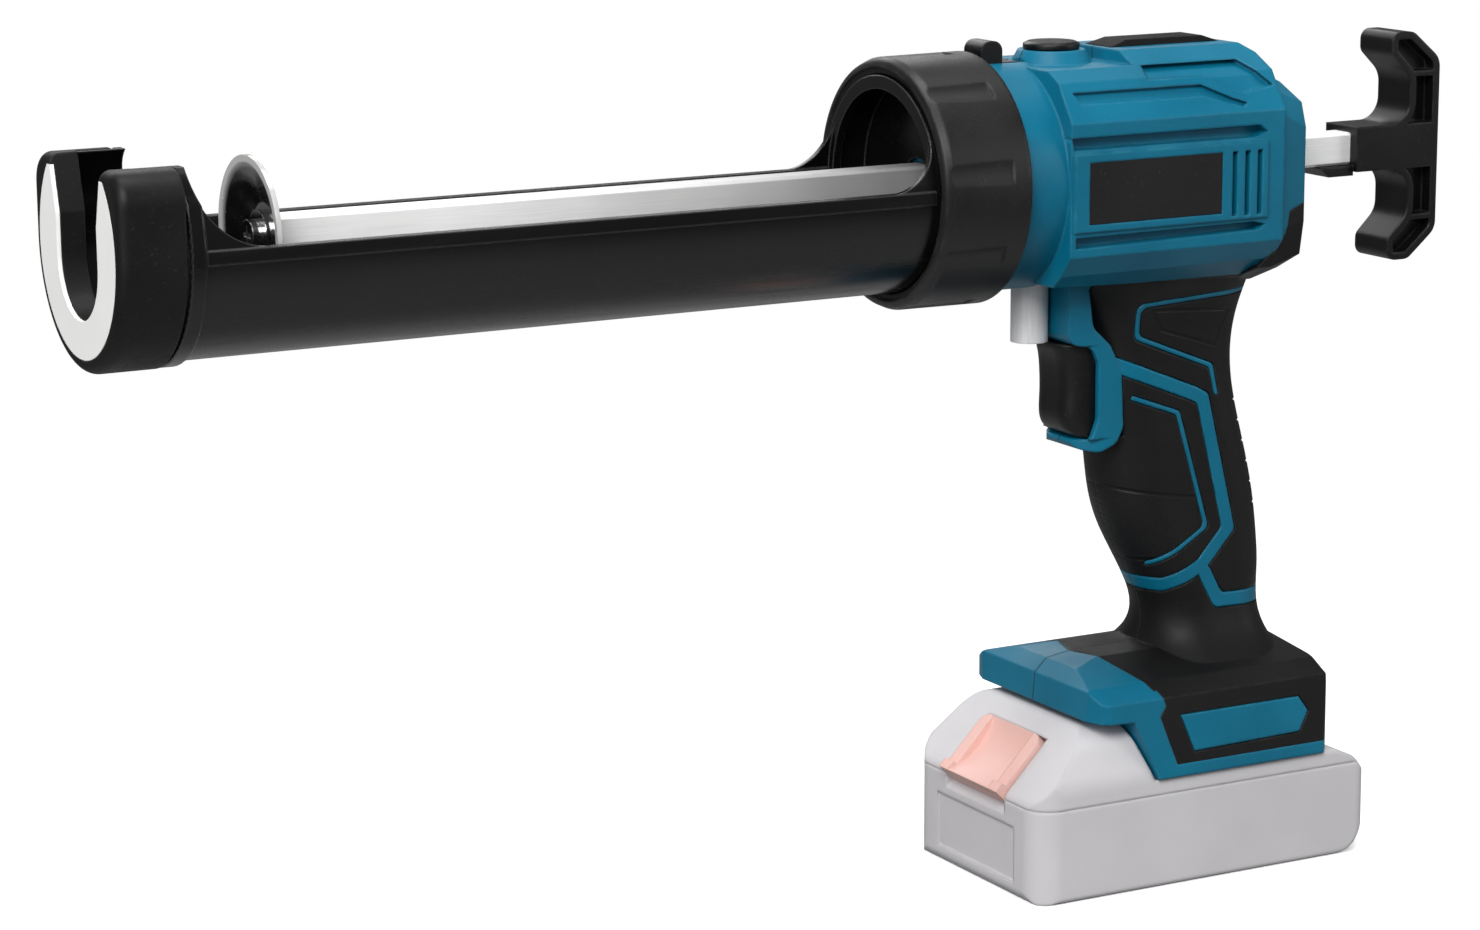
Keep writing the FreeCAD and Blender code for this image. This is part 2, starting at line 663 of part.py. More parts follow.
def t_handle():
    """Moulded T grip with finger scoops, ribbed side pockets, a sleeve for the rod and a tongue under it."""
    upper = [(d.t_back + x * d.t_depth, z * d.t_height, radius * d.t_height) for x, z, radius in T_SHARES]
    lower = [(x, -z, radius) for x, z, radius in reversed(upper[1:])]
    half = d.t_width / 2
    grip = prism(upper + lower, "xz", -half, half)
    pocket_wire = inset(upper + lower, "xz", d.t_rim)
    rib_half = d.t_rib / 2
    keep = [slab((0, -half, -T_SHARES[-1][1] * d.t_height), (d.t_back, half, T_SHARES[-1][1] * d.t_height))]
    for side in (-1, 1):
        place = side * T_RIB_SHARE * d.t_height
        keep.append(slab((0, -half, place - rib_half), (d.t_back, half, place + rib_half)))
    for low, high in ((-half, d.t_pocket - half), (half - d.t_pocket, half)):
        pocket = pushed(pocket_wire.copy(), "xz", low, high)
        grip = grip.cut(pocket.cut(joined(*keep)))
    sleeve_front = d.t_back - d.t_depth
    under = -(d.rod_height / 2 + d.seat_gap)
    tongue = prism([(sleeve_front - x * d.tongue_reach, under + z * d.tongue_sheet) for x, z in TONGUE_SHARES],
                   "xz", -d.rod_width / 2 - d.tongue_margin, d.rod_width / 2 + d.tongue_margin)
    socket = slab((sleeve_front - d.cut_overrun, -d.rod_width / 2 - d.seat_gap, under),
                  (d.rod_tail + d.seat_gap, d.rod_width / 2 + d.seat_gap, -under))
    pin_hole = bar("y", d.pin_radius + d.shaft_gap, -d.rod_width / 2, d.t_width, d.pin_place, 0)
    return grip.fuse(tongue).cut(socket).cut(pin_hole)


def side_points(shares):
    """Side-view points from shares of the body's length and of its top or bottom height."""
    return [(BODY_FRONT + x * d.body_length, z * (d.body_top if z > 0 else d.body_bottom)) for x, z in shares]


def section_points(shares):
    return mirrored([(y * d.body_width / 2, z * (d.body_top if z > 0 else d.body_bottom)) for y, z in shares])


def drop_points(shares):
    """Side-view points from shares of the handle's reach and of its drop below the barrel."""
    return [(x * d.handle_reach, -z * d.grip_drop) for x, z in shares]


def base_points(shares):
    return [(d.base_front + x * d.base_length, -d.grip_drop - z * d.base_height) for x, z in shares]


@functools.cache
def body_form(depth):
    """The faceted body, drawn in by a depth."""
    side = pushed(inset(side_points(BODY_SIDE_SHARES), "xz", depth), "xz", -d.body_width, d.body_width)
    section = pushed(inset(section_points(BODY_SECTION_SHARES), "yz", depth), "yz", BODY_FRONT, BODY_REAR)
    return side.common(section)


@functools.cache
def cover_form(depth):
    """The tapered end behind the body, drawn in by a depth."""
    front = inset(section_points(COVER_FRONT_SHARES), "yz", depth)
    rear = inset(section_points(COVER_REAR_SHARES), "yz", depth)
    root = pushed(front.copy(), "yz", BODY_REAR - 2 * SHELL, BODY_REAR)
    front.translate(V(BODY_REAR, 0, 0))
    rear.translate(V(BODY_REAR + d.cover_length - depth, 0, 0))
    return Part.makeLoft([front, rear], True, True).fuse(root)


@functools.cache
def handle_form(depth):
    """The grip, lofted through rounded sections and drawn in by a depth."""
    wires = []
    for drop, front, back, width in HANDLE_SHARES:
        low = front * d.handle_reach + depth
        high = back * d.handle_reach - depth
        half = width * d.handle_width / 2 - depth
        radius = d.handle_corner - depth
        wire = outline(eased([(low, -half), (low, half), (high, half), (high, -half)], radius), "xy")
        wire.translate(V(0, 0, -drop * d.grip_drop))
        wires.append(wire)
    return Part.makeLoft(wires, True, False)


@functools.cache
def base_form(depth):
    """The block that holds the battery's rails, with a sloped hood in front, drawn in by a depth."""
    section = mirrored([(y * d.base_width / 2, -d.grip_drop - z * d.base_height)
                        for y, z in BASE_SECTION_SHARES])
    plan = mirrored([(y * d.base_width / 2, d.base_front + x * d.base_length) for x, y in BASE_PLAN_SHARES])
    plan = [(x, y) for y, x in plan]
    side = pushed(inset(base_points(BASE_SIDE_SHARES), "xz", depth), "xz", -HALF_WIDTH, HALF_WIDTH)
    across = pushed(inset(section, "yz", depth), "yz", d.base_front, d.base_front + d.base_length)
    down = pushed(inset(plan, "xy", depth), "xy", RAIL, -d.grip_drop)
    return side.common(across).common(down)


@functools.cache
def tool_form(depth):
    return joined(body_form(depth), cover_form(depth), handle_form(depth), base_form(depth))


def black_zone():
    """Where the overmoulded skin covers the shell: lower body, grip and the back of the base."""
    deep = HALF_WIDTH
    top = mirrored([(y * d.base_width / 2, d.base_front + x * d.base_length) for x, y in BLACK_TOP_SHARES])
    shoulder = BLACK_BASE_SHARES[0][1] * d.base_height
    crown = prism([(x, y) for y, x in top], "xy", -d.grip_drop - shoulder, -d.grip_drop)
    return joined(prism(drop_points(BLACK_BODY_SHARES), "xz", -deep, deep),
                  prism(drop_points(BLACK_HANDLE_SHARES), "xz", -deep, deep),
                  prism(base_points(BLACK_BASE_SHARES), "xz", -deep, deep), crown)


def teal_windows(seam):
    """Where the shell shows through the skin: trigger surround, strips and the base's side plates."""
    wires = [inset(eased(drop_points(SURROUND_SHARES), 2 * d.strip_round), "xz", -seam),
             inset(base_points(HEX_SHARES), "xz", -seam)]
    for shares, width in ((STRIP_SHARES, d.strip_width), (BRANCH_SHARES, d.strip_width),
                          (INNER_STRIP_SHARES, d.thin_strip_width), (UPPER_STRIP_SHARES, d.thin_strip_width)):
        wires.append(outline(eased(ribbon(drop_points(shares), width + 2 * seam), d.strip_round), "xz"))
    return joined(*[pushed(wire, "xz", -HALF_WIDTH, HALF_WIDTH) for wire in wires])


def handle_back(height):
    """Where the grip's back is at a height."""
    rows = [(-drop * d.grip_drop, back * d.handle_reach) for drop, front, back, width in HANDLE_SHARES]
    for (high, start), (low, end) in zip(rows, rows[1:]):
        if low <= height <= high:
            return start + (end - start) * (high - height) / (high - low)


def screw_places():
    return [(x * d.handle_reach, -z * d.grip_drop) for x, z in SCREW_SHARES]


def housing_and_grips():
    """The two shell halves, the skin on each, and the end cover."""
    outer = tool_form(0)
    bed = tool_form(d.skin)
    zone = black_zone()
    windows = teal_windows(d.strip_seam)
    skin_form = outer.cut(bed).common(zone).cut(windows)
    seams = windows.cut(teal_windows(0)).common(zone)
    seams = seams.cut(handle_form(d.strip_seam_depth).fuse(base_form(d.strip_seam_depth)))
    ribs_start, ribs_step = RIB_SHARES
    ribs = []
    for number in range(RIB_GROOVES):
        height = -(ribs_start + number * ribs_step) * d.grip_drop
        back = handle_back(height)
        ribs.append(slab((back - d.rib_groove_reach, -HALF_WIDTH, height - d.rib_groove_height),
                         (back + d.rib_groove_reach, HALF_WIDTH, height)))
    ribs = handle_form(0).cut(handle_form(d.rib_groove)).common(joined(*ribs))

    body = body_form(0)
    cover_side = cover_form(0).cut(body).cut(zone)
    band = bar("x", d.band_radius, BODY_FRONT, BODY_FRONT + d.band_length + SHELL, 0, 0)
    nose = bar("x", NOSE_RADIUS, NOSE_FRONT, BODY_FRONT + d.cut_overrun, 0, 0)
    half = d.surround_width / 2
    front = d.trigger_front - d.running_gap
    guard = slab((0, -half, -d.trigger_top), (d.handle_reach, half, 0))
    shelf_top = -d.trigger_top - d.trigger_tall
    for start, low, high in ((front, shelf_top, -d.trigger_top),
                             (front + d.shelf_setback, -d.grip_drop, shelf_top)):
        guard = guard.fuse(prism([(start, -half, d.surround_round), (start, half, d.surround_round),
                                  (d.handle_reach, half), (d.handle_reach, -half)], "xy", low, high))
    surround = prism(eased(drop_points(SURROUND_SHARES), 2 * d.strip_round), "xz", -half, half).common(guard)
    neck_end = BODY_FRONT + d.band_length
    wide = d.body_width
    neck_room = slab((BODY_FRONT, -wide, -wide), (neck_end, wide, wide))
    shell = outer.cut(skin_form).cut(cover_side).cut(seams).cut(neck_room)
    skin_form = skin_form.cut(ribs)
    dip_end = d.pad_start - d.cut_overrun
    dip = slab((neck_end, -d.body_width, DIP), (dip_end, d.body_width, d.body_top + d.cut_overrun))
    boss = Part.makeCone(d.boss_radius + d.boss_flare, d.boss_radius, d.top_dip + SHELL,
                         V(d.dial_place, 0, DIP - SHELL))
    frames = [prism(side_points(FRAME_SHARES), "xz", low, low + SHELL)
              for low in (d.body_width / 2 + d.frame_proud - SHELL, -d.body_width / 2 - d.frame_proud)]
    shell = joined(shell.cut(dip), band, nose, surround, boss, *frames)

    for shares, depth in ((PANEL_SHARES, d.panel_recess), (SHELF_SHARES, d.shelf_recess),
                          (UPPER_GROOVE_SHARES, d.groove_depth),
                          (LOWER_GROOVE_SHARES, d.groove_depth)):
        mark = prism(side_points(shares), "xz", -d.body_width, d.body_width)
        shell = shell.cut(body.cut(body_form(depth)).common(mark))
    plate_bed = d.body_width / 2 + d.frame_proud - d.plate_recess
    plate_mark = prism(side_points(NAMEPLATE_SHARES), "xz", -d.body_width, d.body_width)
    plate_core = slab((BODY_FRONT, -plate_bed, -d.body_bottom), (BODY_REAR, plate_bed, d.body_top))
    shell = shell.cut(plate_mark.cut(plate_core))

    neck_wall = slab((BODY_FRONT, -wide, -wide), (neck_end + d.wall, wide, wide))
    base_room = base_form(SHELL).cut(slab((d.base_front, -d.base_width, RAIL),
                                          (d.base_front + d.base_length, d.base_width, FLOOR)))
    neck_bore = bar("x", d.nose_bore, NOSE_FRONT + d.nose_wall, neck_end + SHELL, 0, 0)
    hollow = joined(body_form(SHELL).cut(neck_wall), handle_form(SHELL), base_room, neck_bore)
    hollow = hollow.cut(slab((BODY_FRONT, -wide, DIP - SHELL), (dip_end + SHELL, wide, d.body_top)))
    groove_floors = [pushed(inset(side_points(shares), "xz", -d.wall), "xz", -d.body_width, d.body_width).cut(
        body_form(d.groove_depth + d.wall)) for shares in (UPPER_GROOVE_SHARES, LOWER_GROOVE_SHARES)]
    hollow = hollow.cut(joined(*groove_floors))
    switch_ribs = []
    for share in SWITCH_RIB_SHARES:
        place = SWITCH_FRONT + share * d.switch_length
        switch_ribs.append(slab((place, -HALF_WIDTH, SWITCH_TOP - d.switch_height - d.wall),
                                (place + d.switch_rib, HALF_WIDTH, SWITCH_TOP + d.wall)))
    switch_room = slab((SWITCH_FRONT - d.seat_gap, -d.switch_width / 2 - d.seat_gap,
                        SWITCH_TOP - d.switch_height - d.seat_gap),
                       (SWITCH_FRONT + d.switch_length + d.seat_gap, d.switch_width / 2 + d.seat_gap,
                        SWITCH_TOP + d.seat_gap))
    hollow = hollow.cut(joined(*switch_ribs)).fuse(switch_room)
    wells = []
    for x, z in screw_places():
        hollow = hollow.cut(bar("y", d.screw_post_radius, -HALF_WIDTH, d.screw_seat, x, z))
        hollow = hollow.cut(bar("y", d.screw_well_radius + d.wall, d.screw_seat - d.wall, HALF_WIDTH, x, z))
        wells.append(bar("y", d.screw_well_radius, d.screw_seat, HALF_WIDTH, x, z))
        wells.append(bar("y", d.screw_radius + d.seat_gap, d.screw_seat - d.screw_length - d.seat_gap,
                         d.screw_seat + d.cut_overrun, x, z))
    wells = joined(*wells)

    vents = []
    for share in VENT_SHARES:
        place = BODY_FRONT + share * d.body_length
        top, bottom = VENT_SPAN_SHARES
        vents.append(slab((place, -d.body_width, bottom * d.body_bottom),
                          (place + d.vent_width, d.body_width, top * d.body_top)))
    core = d.body_width / 2 - SHELL - d.cut_overrun
    vents = joined(*vents).cut(slab((BODY_FRONT, -core, -d.body_bottom), (BODY_REAR, core, d.body_top)))

    rod_half = d.rod_width / 2 + d.running_gap
    rod_rise = d.rod_height / 2 + d.running_gap
    rod_hole = slab((NOSE_FRONT - d.cut_overrun, -rod_half, -rod_rise),
                    (BODY_REAR + d.cover_length + d.cut_overrun, rod_half, rod_rise))
    plunger_hole = bar("z", d.plunger_radius + d.running_gap, -d.plunger_bottom, d.cut_overrun - d.plunger_seat,
                       d.plunger_place, 0)
    trigger_hole = slab((d.trigger_front - d.cut_overrun, -d.trigger_width / 2 - d.running_gap,
                         -d.trigger_top - d.trigger_tall - d.running_gap),
                        (SWITCH_FRONT - d.seat_gap, d.trigger_width / 2 + d.running_gap,
                         d.running_gap - d.trigger_top))
    stem_hole = bar("z", d.dial_stem_radius + d.running_gap, DIP - SHELL - d.cut_overrun,
                    d.body_top + d.cut_overrun, d.dial_place, 0)
    catch_floor = d.band_radius - d.catch_foot - d.slide_gap
    catch_slot = slab((BODY_FRONT - d.cut_overrun, -d.catch_width / 2 - d.slide_gap, catch_floor),
                      (BODY_FRONT + d.catch_setback + d.catch_length + d.catch_foot_reach + d.catch_travel
                       + 2 * d.running_gap,
                       d.catch_width / 2 + d.slide_gap, d.band_radius + d.cut_overrun))
    rail_half = d.rail_width / 2 + d.running_gap
    neck_half = d.rail_neck / 2 + d.running_gap
    rail_stop = d.rail_start + d.rail_length + d.running_gap
    rail_room = slab((d.base_front, -rail_half, RAIL + d.rail_lip),
                     (rail_stop, rail_half, FLOOR - d.base_floor))
    rail_mouth = slab((d.base_front, -neck_half, RAIL - d.cut_overrun),
                      (rail_stop, neck_half, RAIL + d.rail_lip + d.cut_overrun))
    blades = []
    for side in (-1, 1):
        middle = side * d.blade_spacing / 2
        blades.append(slab((d.terminal_place, middle - d.blade_sheet, FLOOR - d.base_floor - d.cut_overrun),
                           (d.terminal_place + d.blade_length + d.running_gap, middle + d.blade_sheet,
                            FLOOR + d.cut_overrun)))
    shell = shell.cut(joined(hollow, wells, vents))
    openings = [rod_hole, plunger_hole, trigger_hole, stem_hole, catch_slot, rail_room, rail_mouth] + blades
    for opening in openings:
        shell = shell.cut(opening)
    end_cover = cover_side.cut(cover_form(d.wall)).cut(rod_hole)
    skin_form = skin_form.cut(wells).cut(trigger_hole).cut(plunger_hole)

    far = BODY_REAR + d.cover_length + d.handle_reach
    left_side = slab((-far, -d.base_width, STAND), (far, 0, -STAND))
    right_side = slab((-far, 0, STAND), (far, d.base_width, -STAND))
    solid("housing_left", main_solids(shell.common(left_side)))
    solid("housing_right", main_solids(shell.common(right_side)))
    solid("grip_left", main_solids(skin_form.common(left_side)))
    solid("grip_right", main_solids(skin_form.common(right_side)))
    solid("rear_cover", main_solids(end_cover))


def main_solids(shape):
    """A shape without the crumbs that a cut leaves: solids under a cube as wide as a strip."""
    solids = [item for item in shape.Solids if item.Volume > d.strip_width ** 3]
    return solids[0] if len(solids) == 1 else Part.makeCompound(solids)


def gear(module, teeth, low, high, x, z, phase):
    """A spur gear on a cross axis: stub involute teeth with straight flanks between root, pitch and tip."""
    pitch = module * teeth / 2
    base = pitch * math.cos(math.radians(PRESSURE_ANGLE))
    thickness = math.pi * module / 2 - d.gear_backlash / 2
    radii = (pitch - ROOT_SHARE * module, pitch, pitch + TIP_SHARE * module)
    spreads = []
    for radius in radii:
        slope = math.acos(base / max(radius, base))
        start = math.radians(PRESSURE_ANGLE)
        spreads.append(thickness / 2 / pitch + math.tan(start) - start - math.tan(slope) + slope)
    points = []
    for tooth in range(teeth):
        middle = phase + 2 * math.pi * tooth / teeth
        flank = list(zip(radii, spreads))
        for radius, angle in [(r, middle - s) for r, s in flank] + [(r, middle + s) for r, s in flank[::-1]]:
            points.append((x + radius * math.cos(angle), z + radius * math.sin(angle)))
    return prism(points, "xz", low, high)


def drive_train():
    """Pinion under the rack, the wheel beside it on one shaft, and the gear that the motor turns."""
    drop = -PINION_DROP
    half = d.pinion_width / 2
    bore = d.shaft_radius + d.shaft_gap
    rack_pinion = gear(d.rack_module, PINION_TEETH, -half, half, d.pinion_place, drop, math.pi / 2)
    solid("pinion", rack_pinion.cut(bar("y", bore, -d.plate_spacing, d.plate_spacing, d.pinion_place, drop)))
    gear_low = d.plate_spacing / 2 + d.plate_thickness + d.running_gap
    gear_high = gear_low + d.gear_width
    line = math.atan2(PINION_DROP - d.motor_drop, MOTOR_PLACE - d.pinion_place)
    wheel = gear(d.gear_module, WHEEL_TEETH, gear_low, gear_high, d.pinion_place, drop, line)
    solid("wheel_gear", wheel.cut(bar("y", bore, -d.plate_spacing, d.body_width, d.pinion_place, drop)))
    driver = gear(d.gear_module, DRIVE_TEETH, gear_low, gear_high, MOTOR_PLACE, -d.motor_drop,
                  line + math.pi + math.pi / DRIVE_TEETH)
    stub = bar("y", d.output_radius, d.plate_spacing / 2 - d.output_reach, gear_low + d.cut_overrun,
               MOTOR_PLACE, -d.motor_drop)
    solid("drive_gear", driver.fuse(stub))


def gear_plates():
    """Two steel plates inside the shell that carry the shaft; the right one carries the gearbox too."""
    room = body_form(SHELL + d.seat_gap)
    room = room.cut(slab((BODY_FRONT, -d.body_width, DIP - SHELL - d.seat_gap),
                         (d.pad_start + SHELL, d.body_width, d.body_top)))
    inner = d.plate_spacing / 2
    outer = inner + d.plate_thickness
    bush_hole = bar("y", d.bush_radius + d.seat_gap, -outer - d.cut_overrun, outer + d.cut_overrun,
                    d.pinion_place, -PINION_DROP)
    tall = d.body_top + d.body_bottom
    left = slab((d.plate_front, -outer, -tall), (d.plate_rear, -inner, tall)).common(room)
    right = slab((d.plate_front, inner, -tall), (d.plate_rear, outer, tall)).common(room)
    foot = slab((d.plate_rear, inner, -d.motor_drop - d.gearbox_radius),
                (MOTOR_PLACE + d.gearbox_radius, outer, d.gearbox_radius - d.motor_drop))
    output_hole = bar("y", d.output_radius + d.running_gap, inner - d.cut_overrun, outer + d.cut_overrun,
                      MOTOR_PLACE, -d.motor_drop)
    solid("gear_plate_left", left.cut(bush_hole))
    solid("gear_plate_right", right.fuse(foot).cut(bush_hole).cut(output_hole))


def trigger():
    """Finger piece lofted through round-fronted sections, with a stub that works the switch."""
    half = d.trigger_width / 2
    rear = d.trigger_front + d.trigger_depth
    wires = []
    for drop, front in TRIGGER_SHARES:
        low = d.trigger_front + front * d.trigger_depth
        plan = [(low, -half, d.trigger_round), (low, half, d.trigger_round), (rear, half), (rear, -half)]
        wire = outline(plan, "xy")
        wire.translate(V(0, 0, -d.trigger_top - drop * d.trigger_tall))
        wires.append(wire)
    stub = bar("x", d.switch_button_radius, rear - d.cut_overrun, rear + d.switch_button_reach, 0,
               -d.trigger_top - d.trigger_tall / 2)
    solid("trigger", Part.makeLoft(wires, True, False).fuse(stub))


def speed_dial():
    """Domed thumb wheel with diagonal ribs, on a stem that turns the potentiometer."""
    low = d.body_top + d.running_gap
    high = low + d.dial_height
    edge = d.dial_height / 3
    foot = DIP - SHELL - d.pot_height / 2
    axis = d.dial_place
    stem = axis + d.dial_stem_radius
    rim = axis + d.dial_radius
    profile = [(axis, foot), (stem, foot), (stem, low), (rim, low), (rim, high - edge, edge / 2),
               (rim - 2 * edge, high), (axis, high)]
    knob = Part.Face(outline(profile, "xz")).revolve(V(axis, 0, 0), WAYS["z"], 360)
    inner = d.dial_radius - 2 * edge
    step = 2 * inner / DIAL_RIBS
    for number in range(DIAL_RIBS):
        place = (number - (DIAL_RIBS - 1) / 2) * step
        reach = math.sqrt(inner ** 2 - place ** 2) - edge / 2
        rib = slab((axis + place - d.dial_rib_width / 2, -reach, high - d.dial_rib_depth),
                   (axis + place + d.dial_rib_width / 2, reach, high + d.cut_overrun))
        rib.rotate(V(axis, 0, 0), WAYS["z"], DIAL_RIB_SLANT)
        knob = knob.cut(rib)
    solid("speed_dial", knob)


def top_pad():
    """Low black pad with bevelled ends and sides."""
    half = d.pad_width / 2
    side = [(d.pad_start + x * d.pad_length, d.body_top + z * d.pad_height) for x, z in PAD_SHARES]
    section = mirrored([(half * PAD_TOP_SHARE, d.body_top + d.pad_height), (half, d.body_top)])
    solid("top_pad", prism(side, "xz", -half, half).common(
        prism(section, "yz", d.pad_start, d.pad_start + d.pad_length)))


def release_spring():
    """Coil between the plunger's flange and the guide block: one wire on half-turn arcs."""
    low = d.plunger_flange + d.release_wire / 2 + 2 * d.seat_gap - d.plunger_seat
    high = -d.guide_drop - d.release_wire / 2 - d.seat_gap
    radius = d.release_coil_radius
    steps = RELEASE_TURNS * 4
    edges = []
    for number in range(steps):
        spots = []
        for share in (0, 0.5, 1):
            turn = 2 * math.pi * RELEASE_TURNS * (number + share) / steps
            spots.append(V(d.plunger_place + radius * math.cos(turn), radius * math.sin(turn),
                           low + (high - low) * (number + share) / steps))
        edges.append(Part.Arc(*spots).toShape())
    path = Part.Wire(edges)
    start = path.Vertexes[0].Point
    heading = edges[0].tangentAt(edges[0].FirstParameter)
    ring = Part.Wire([Part.Circle(start, heading, d.release_wire / 2).toShape()])
    gap = (high - low) / RELEASE_TURNS - d.release_wire
    print("release spring: least gap between turns", round(gap, 2), "mm")
    solid("release_spring", path.makePipeShell([ring], True, False))


def battery_points(shares):
    front = d.battery_centre - d.battery_length / 2
    return [(front + x * d.battery_length, STAND + z * d.battery_height, radius * d.battery_height)
            for x, z, radius in shares]


def battery_form(depth):
    """The pack's outside, with its raised sloping front, drawn in by a depth."""
    front = d.battery_centre - d.battery_length / 2
    half = d.battery_width / 2
    rear = front + d.battery_length
    plan = [(front, -half, d.battery_front_corner), (rear, -half, d.battery_rear_corner),
            (rear, half, d.battery_rear_corner), (front, half, d.battery_front_corner)]
    side = pushed(inset(battery_points(BATTERY_SIDE_SHARES), "xz", depth), "xz", -half, half)
    tower = max(share[1] for share in BATTERY_SIDE_SHARES) * d.battery_height
    section = mirrored([(y * half, STAND + z * d.battery_height, radius * d.battery_height)
                        for y, z, radius in BATTERY_SECTION_SHARES])
    across = pushed(inset(section, "yz", depth), "yz", front, rear)
    return side.common(pushed(inset(plan, "xy", depth), "xy", STAND, STAND + tower)).common(across)


def slope_place(along, proud):
    """A side-view place on the pack's sloping front: so far up the slope and so far out of it."""
    low, high = [V(x, 0, z) for x, z, radius in battery_points(BATTERY_SIDE_SHARES[2:4])]
    up = (high - low).normalize()
    out = V(-up.z, 0, up.x)
    spot = low + up * along + out * proud
    return spot.x, spot.z


def latch_points(low, high, depth, proud):
    corners = ((low, -depth), (high, -depth), (high, proud), (low, proud))
    return [slope_place(along, out) for along, out in corners]


def battery():
    """Lower and upper case halves with the rails, and the latch on the sloping front."""
    outer = battery_form(0)
    hollow = battery_form(d.battery_wall)
    top = STAND + BATTERY_SIDE_SHARES[5][1] * d.battery_height
    seam = top - d.seam_drop
    far = d.battery_centre + d.battery_length
    below = slab((0, -d.battery_width, STAND - d.cut_overrun), (far, d.battery_width, seam))
    above = slab((0, -d.battery_width, seam), (far, d.battery_width, 0))
    rail_low = top - d.battery_wall
    neck_top = RAIL + d.rail_lip + d.running_gap
    rail_end = d.rail_start + d.rail_length
    neck = slab((d.rail_start, -d.rail_neck / 2, rail_low), (rail_end, d.rail_neck / 2, neck_top))
    rail = slab((d.rail_start, -d.rail_width / 2, neck_top), (rail_end, d.rail_width / 2, RAIL + d.rail_rise))
    slots = []
    for side in (-1, 1):
        middle = side * d.blade_spacing / 2
        slots.append(slab((d.terminal_place - d.running_gap, middle - d.contact_slot / 2,
                           FLOOR - d.base_floor - d.running_gap - d.rail_rise),
                          (rail_end + d.cut_overrun, middle + d.contact_slot / 2, FLOOR)))
    half = d.latch_width / 2
    bay_half = half + d.running_gap
    bay = prism(latch_points(d.latch_start - d.latch_travel - d.running_gap - d.latch_lip,
                             d.latch_start + d.latch_length + d.running_gap, d.latch_depth + d.slide_gap,
                             d.latch_depth * 2),
                "xz", -bay_half, bay_half)
    bay_wall = prism(latch_points(d.latch_start - d.latch_travel - d.latch_lip - d.battery_wall,
                                  d.latch_start + d.latch_length + d.battery_wall,
                                  d.latch_depth + d.battery_wall, 0),
                     "xz", -bay_half - d.battery_wall, bay_half + d.battery_wall)
    hollow = hollow.cut(bay_wall)
    screws = []
    for x, y in battery_screw_places():
        hollow = hollow.cut(bar("z", d.screw_well_radius + d.battery_wall / 2, STAND, seam, x, y))
        hollow = hollow.cut(bar("z", d.screw_post_radius, seam, seam + d.seam_drop, x, y))
        screws.append(bar("z", d.screw_radius + d.seat_gap, STAND, seam + d.seam_drop - d.battery_wall, x, y))
        screws.append(bar("z", d.screw_well_radius, STAND - d.cut_overrun, STAND + d.battery_screw_inset, x, y))
    front = d.battery_centre - d.battery_length / 2
    badge = slab((front - d.cut_overrun, -d.badge_width / 2, STAND + d.badge_rise),
                 (front + d.badge_recess, d.badge_width / 2, STAND + d.badge_rise + d.badge_height))
    case = outer.cut(hollow).cut(joined(*screws)).cut(badge)
    solid("battery_case_lower", main_solids(case.common(below).cut(bay)))
    upper = joined(case.common(above), neck, rail).cut(bay)
    for slot in slots:
        upper = upper.cut(slot)
    solid("battery_case_upper", main_solids(upper))

    plate = prism(latch_points(d.latch_start, d.latch_start + d.latch_length, d.latch_depth, d.latch_proud),
                  "xz", -half, half)
    lip = prism(latch_points(d.latch_start - d.latch_lip, d.latch_start, d.latch_depth, d.latch_lip),
                "xz", -half, half)
    middle = slope_place(d.latch_start + d.latch_length / 2, d.latch_scoop + d.latch_proud / 2 - d.latch_proud)
    scoop = bar("y", d.latch_scoop, -half * LATCH_SCOOP_SHARE, half * LATCH_SCOOP_SHARE, *middle)
    press = plate.fuse(lip).removeSplitter()
    upper_end = slope_place(d.latch_start + d.latch_length, 0)
    corners = [edge for edge in press.Edges if edge.Length < d.latch_length / 2 and edge.distToShape(
        Part.Vertex(upper_end[0], math.copysign(half, edge.CenterOfMass.y), upper_end[1]))[0] < d.seat_gap]
    solid("battery_latch", press.makeFillet(d.latch_round, corners).cut(scoop))


def battery_screw_places():
    front = d.battery_centre - d.battery_length / 2 + d.battery_screw_inset
    rear = front + d.battery_length * BATTERY_SCREW_SHARE
    return [(x, side * d.battery_screw_spread / 2) for x in (front, rear) for side in (-1, 1)]


def turned_body(label, profile, turn):
    """A body turned about its x axis from a sketched profile of (axial, radial) formulas."""
    body = doc.addObject("PartDesign::Body", label + "_body")
    plane = next(item for item in body.Origin.OriginFeatures if item.Role == "XY_Plane")
    sketch = body.newObject("Sketcher::SketchObject", label + "_profile")
    sketch.AttachmentSupport = [(plane, "")]
    sketch.MapMode = "FlatFace"
    count = len(profile)
    spots = [V(math.cos(2 * math.pi * number / count), 2 + math.sin(2 * math.pi * number / count), 0)
             for number in range(count)]
    for number in range(count):
        sketch.addGeometry(Part.LineSegment(spots[number], spots[(number + 1) % count]))
    for number in range(count):
        sketch.addConstraint(Sketcher.Constraint("Coincident", number, 2, (number + 1) % count, 1))
    for number, places in enumerate(profile):
        for kind, zero_line, text in zip(("DistanceX", "DistanceY"), (-2, -1), places):
            if text == "0":
                sketch.addConstraint(Sketcher.Constraint("PointOnObject", number, 1, zero_line))
                continue
            place = sketch.addConstraint(Sketcher.Constraint(kind, -1, 1, number, 1, 1.0))
            sketch.setExpression(f"Constraints[{place}]", formula(text))
    revolution = body.newObject("PartDesign::Revolution", label + "_turned")
    revolution.Profile = sketch
    revolution.ReferenceAxis = (sketch, ["H_Axis"])
    revolution.Angle = 360
    body.Placement.Rotation = FreeCAD.Rotation(V(0, 0, 1), turn)
    doc.recompute()
    return body


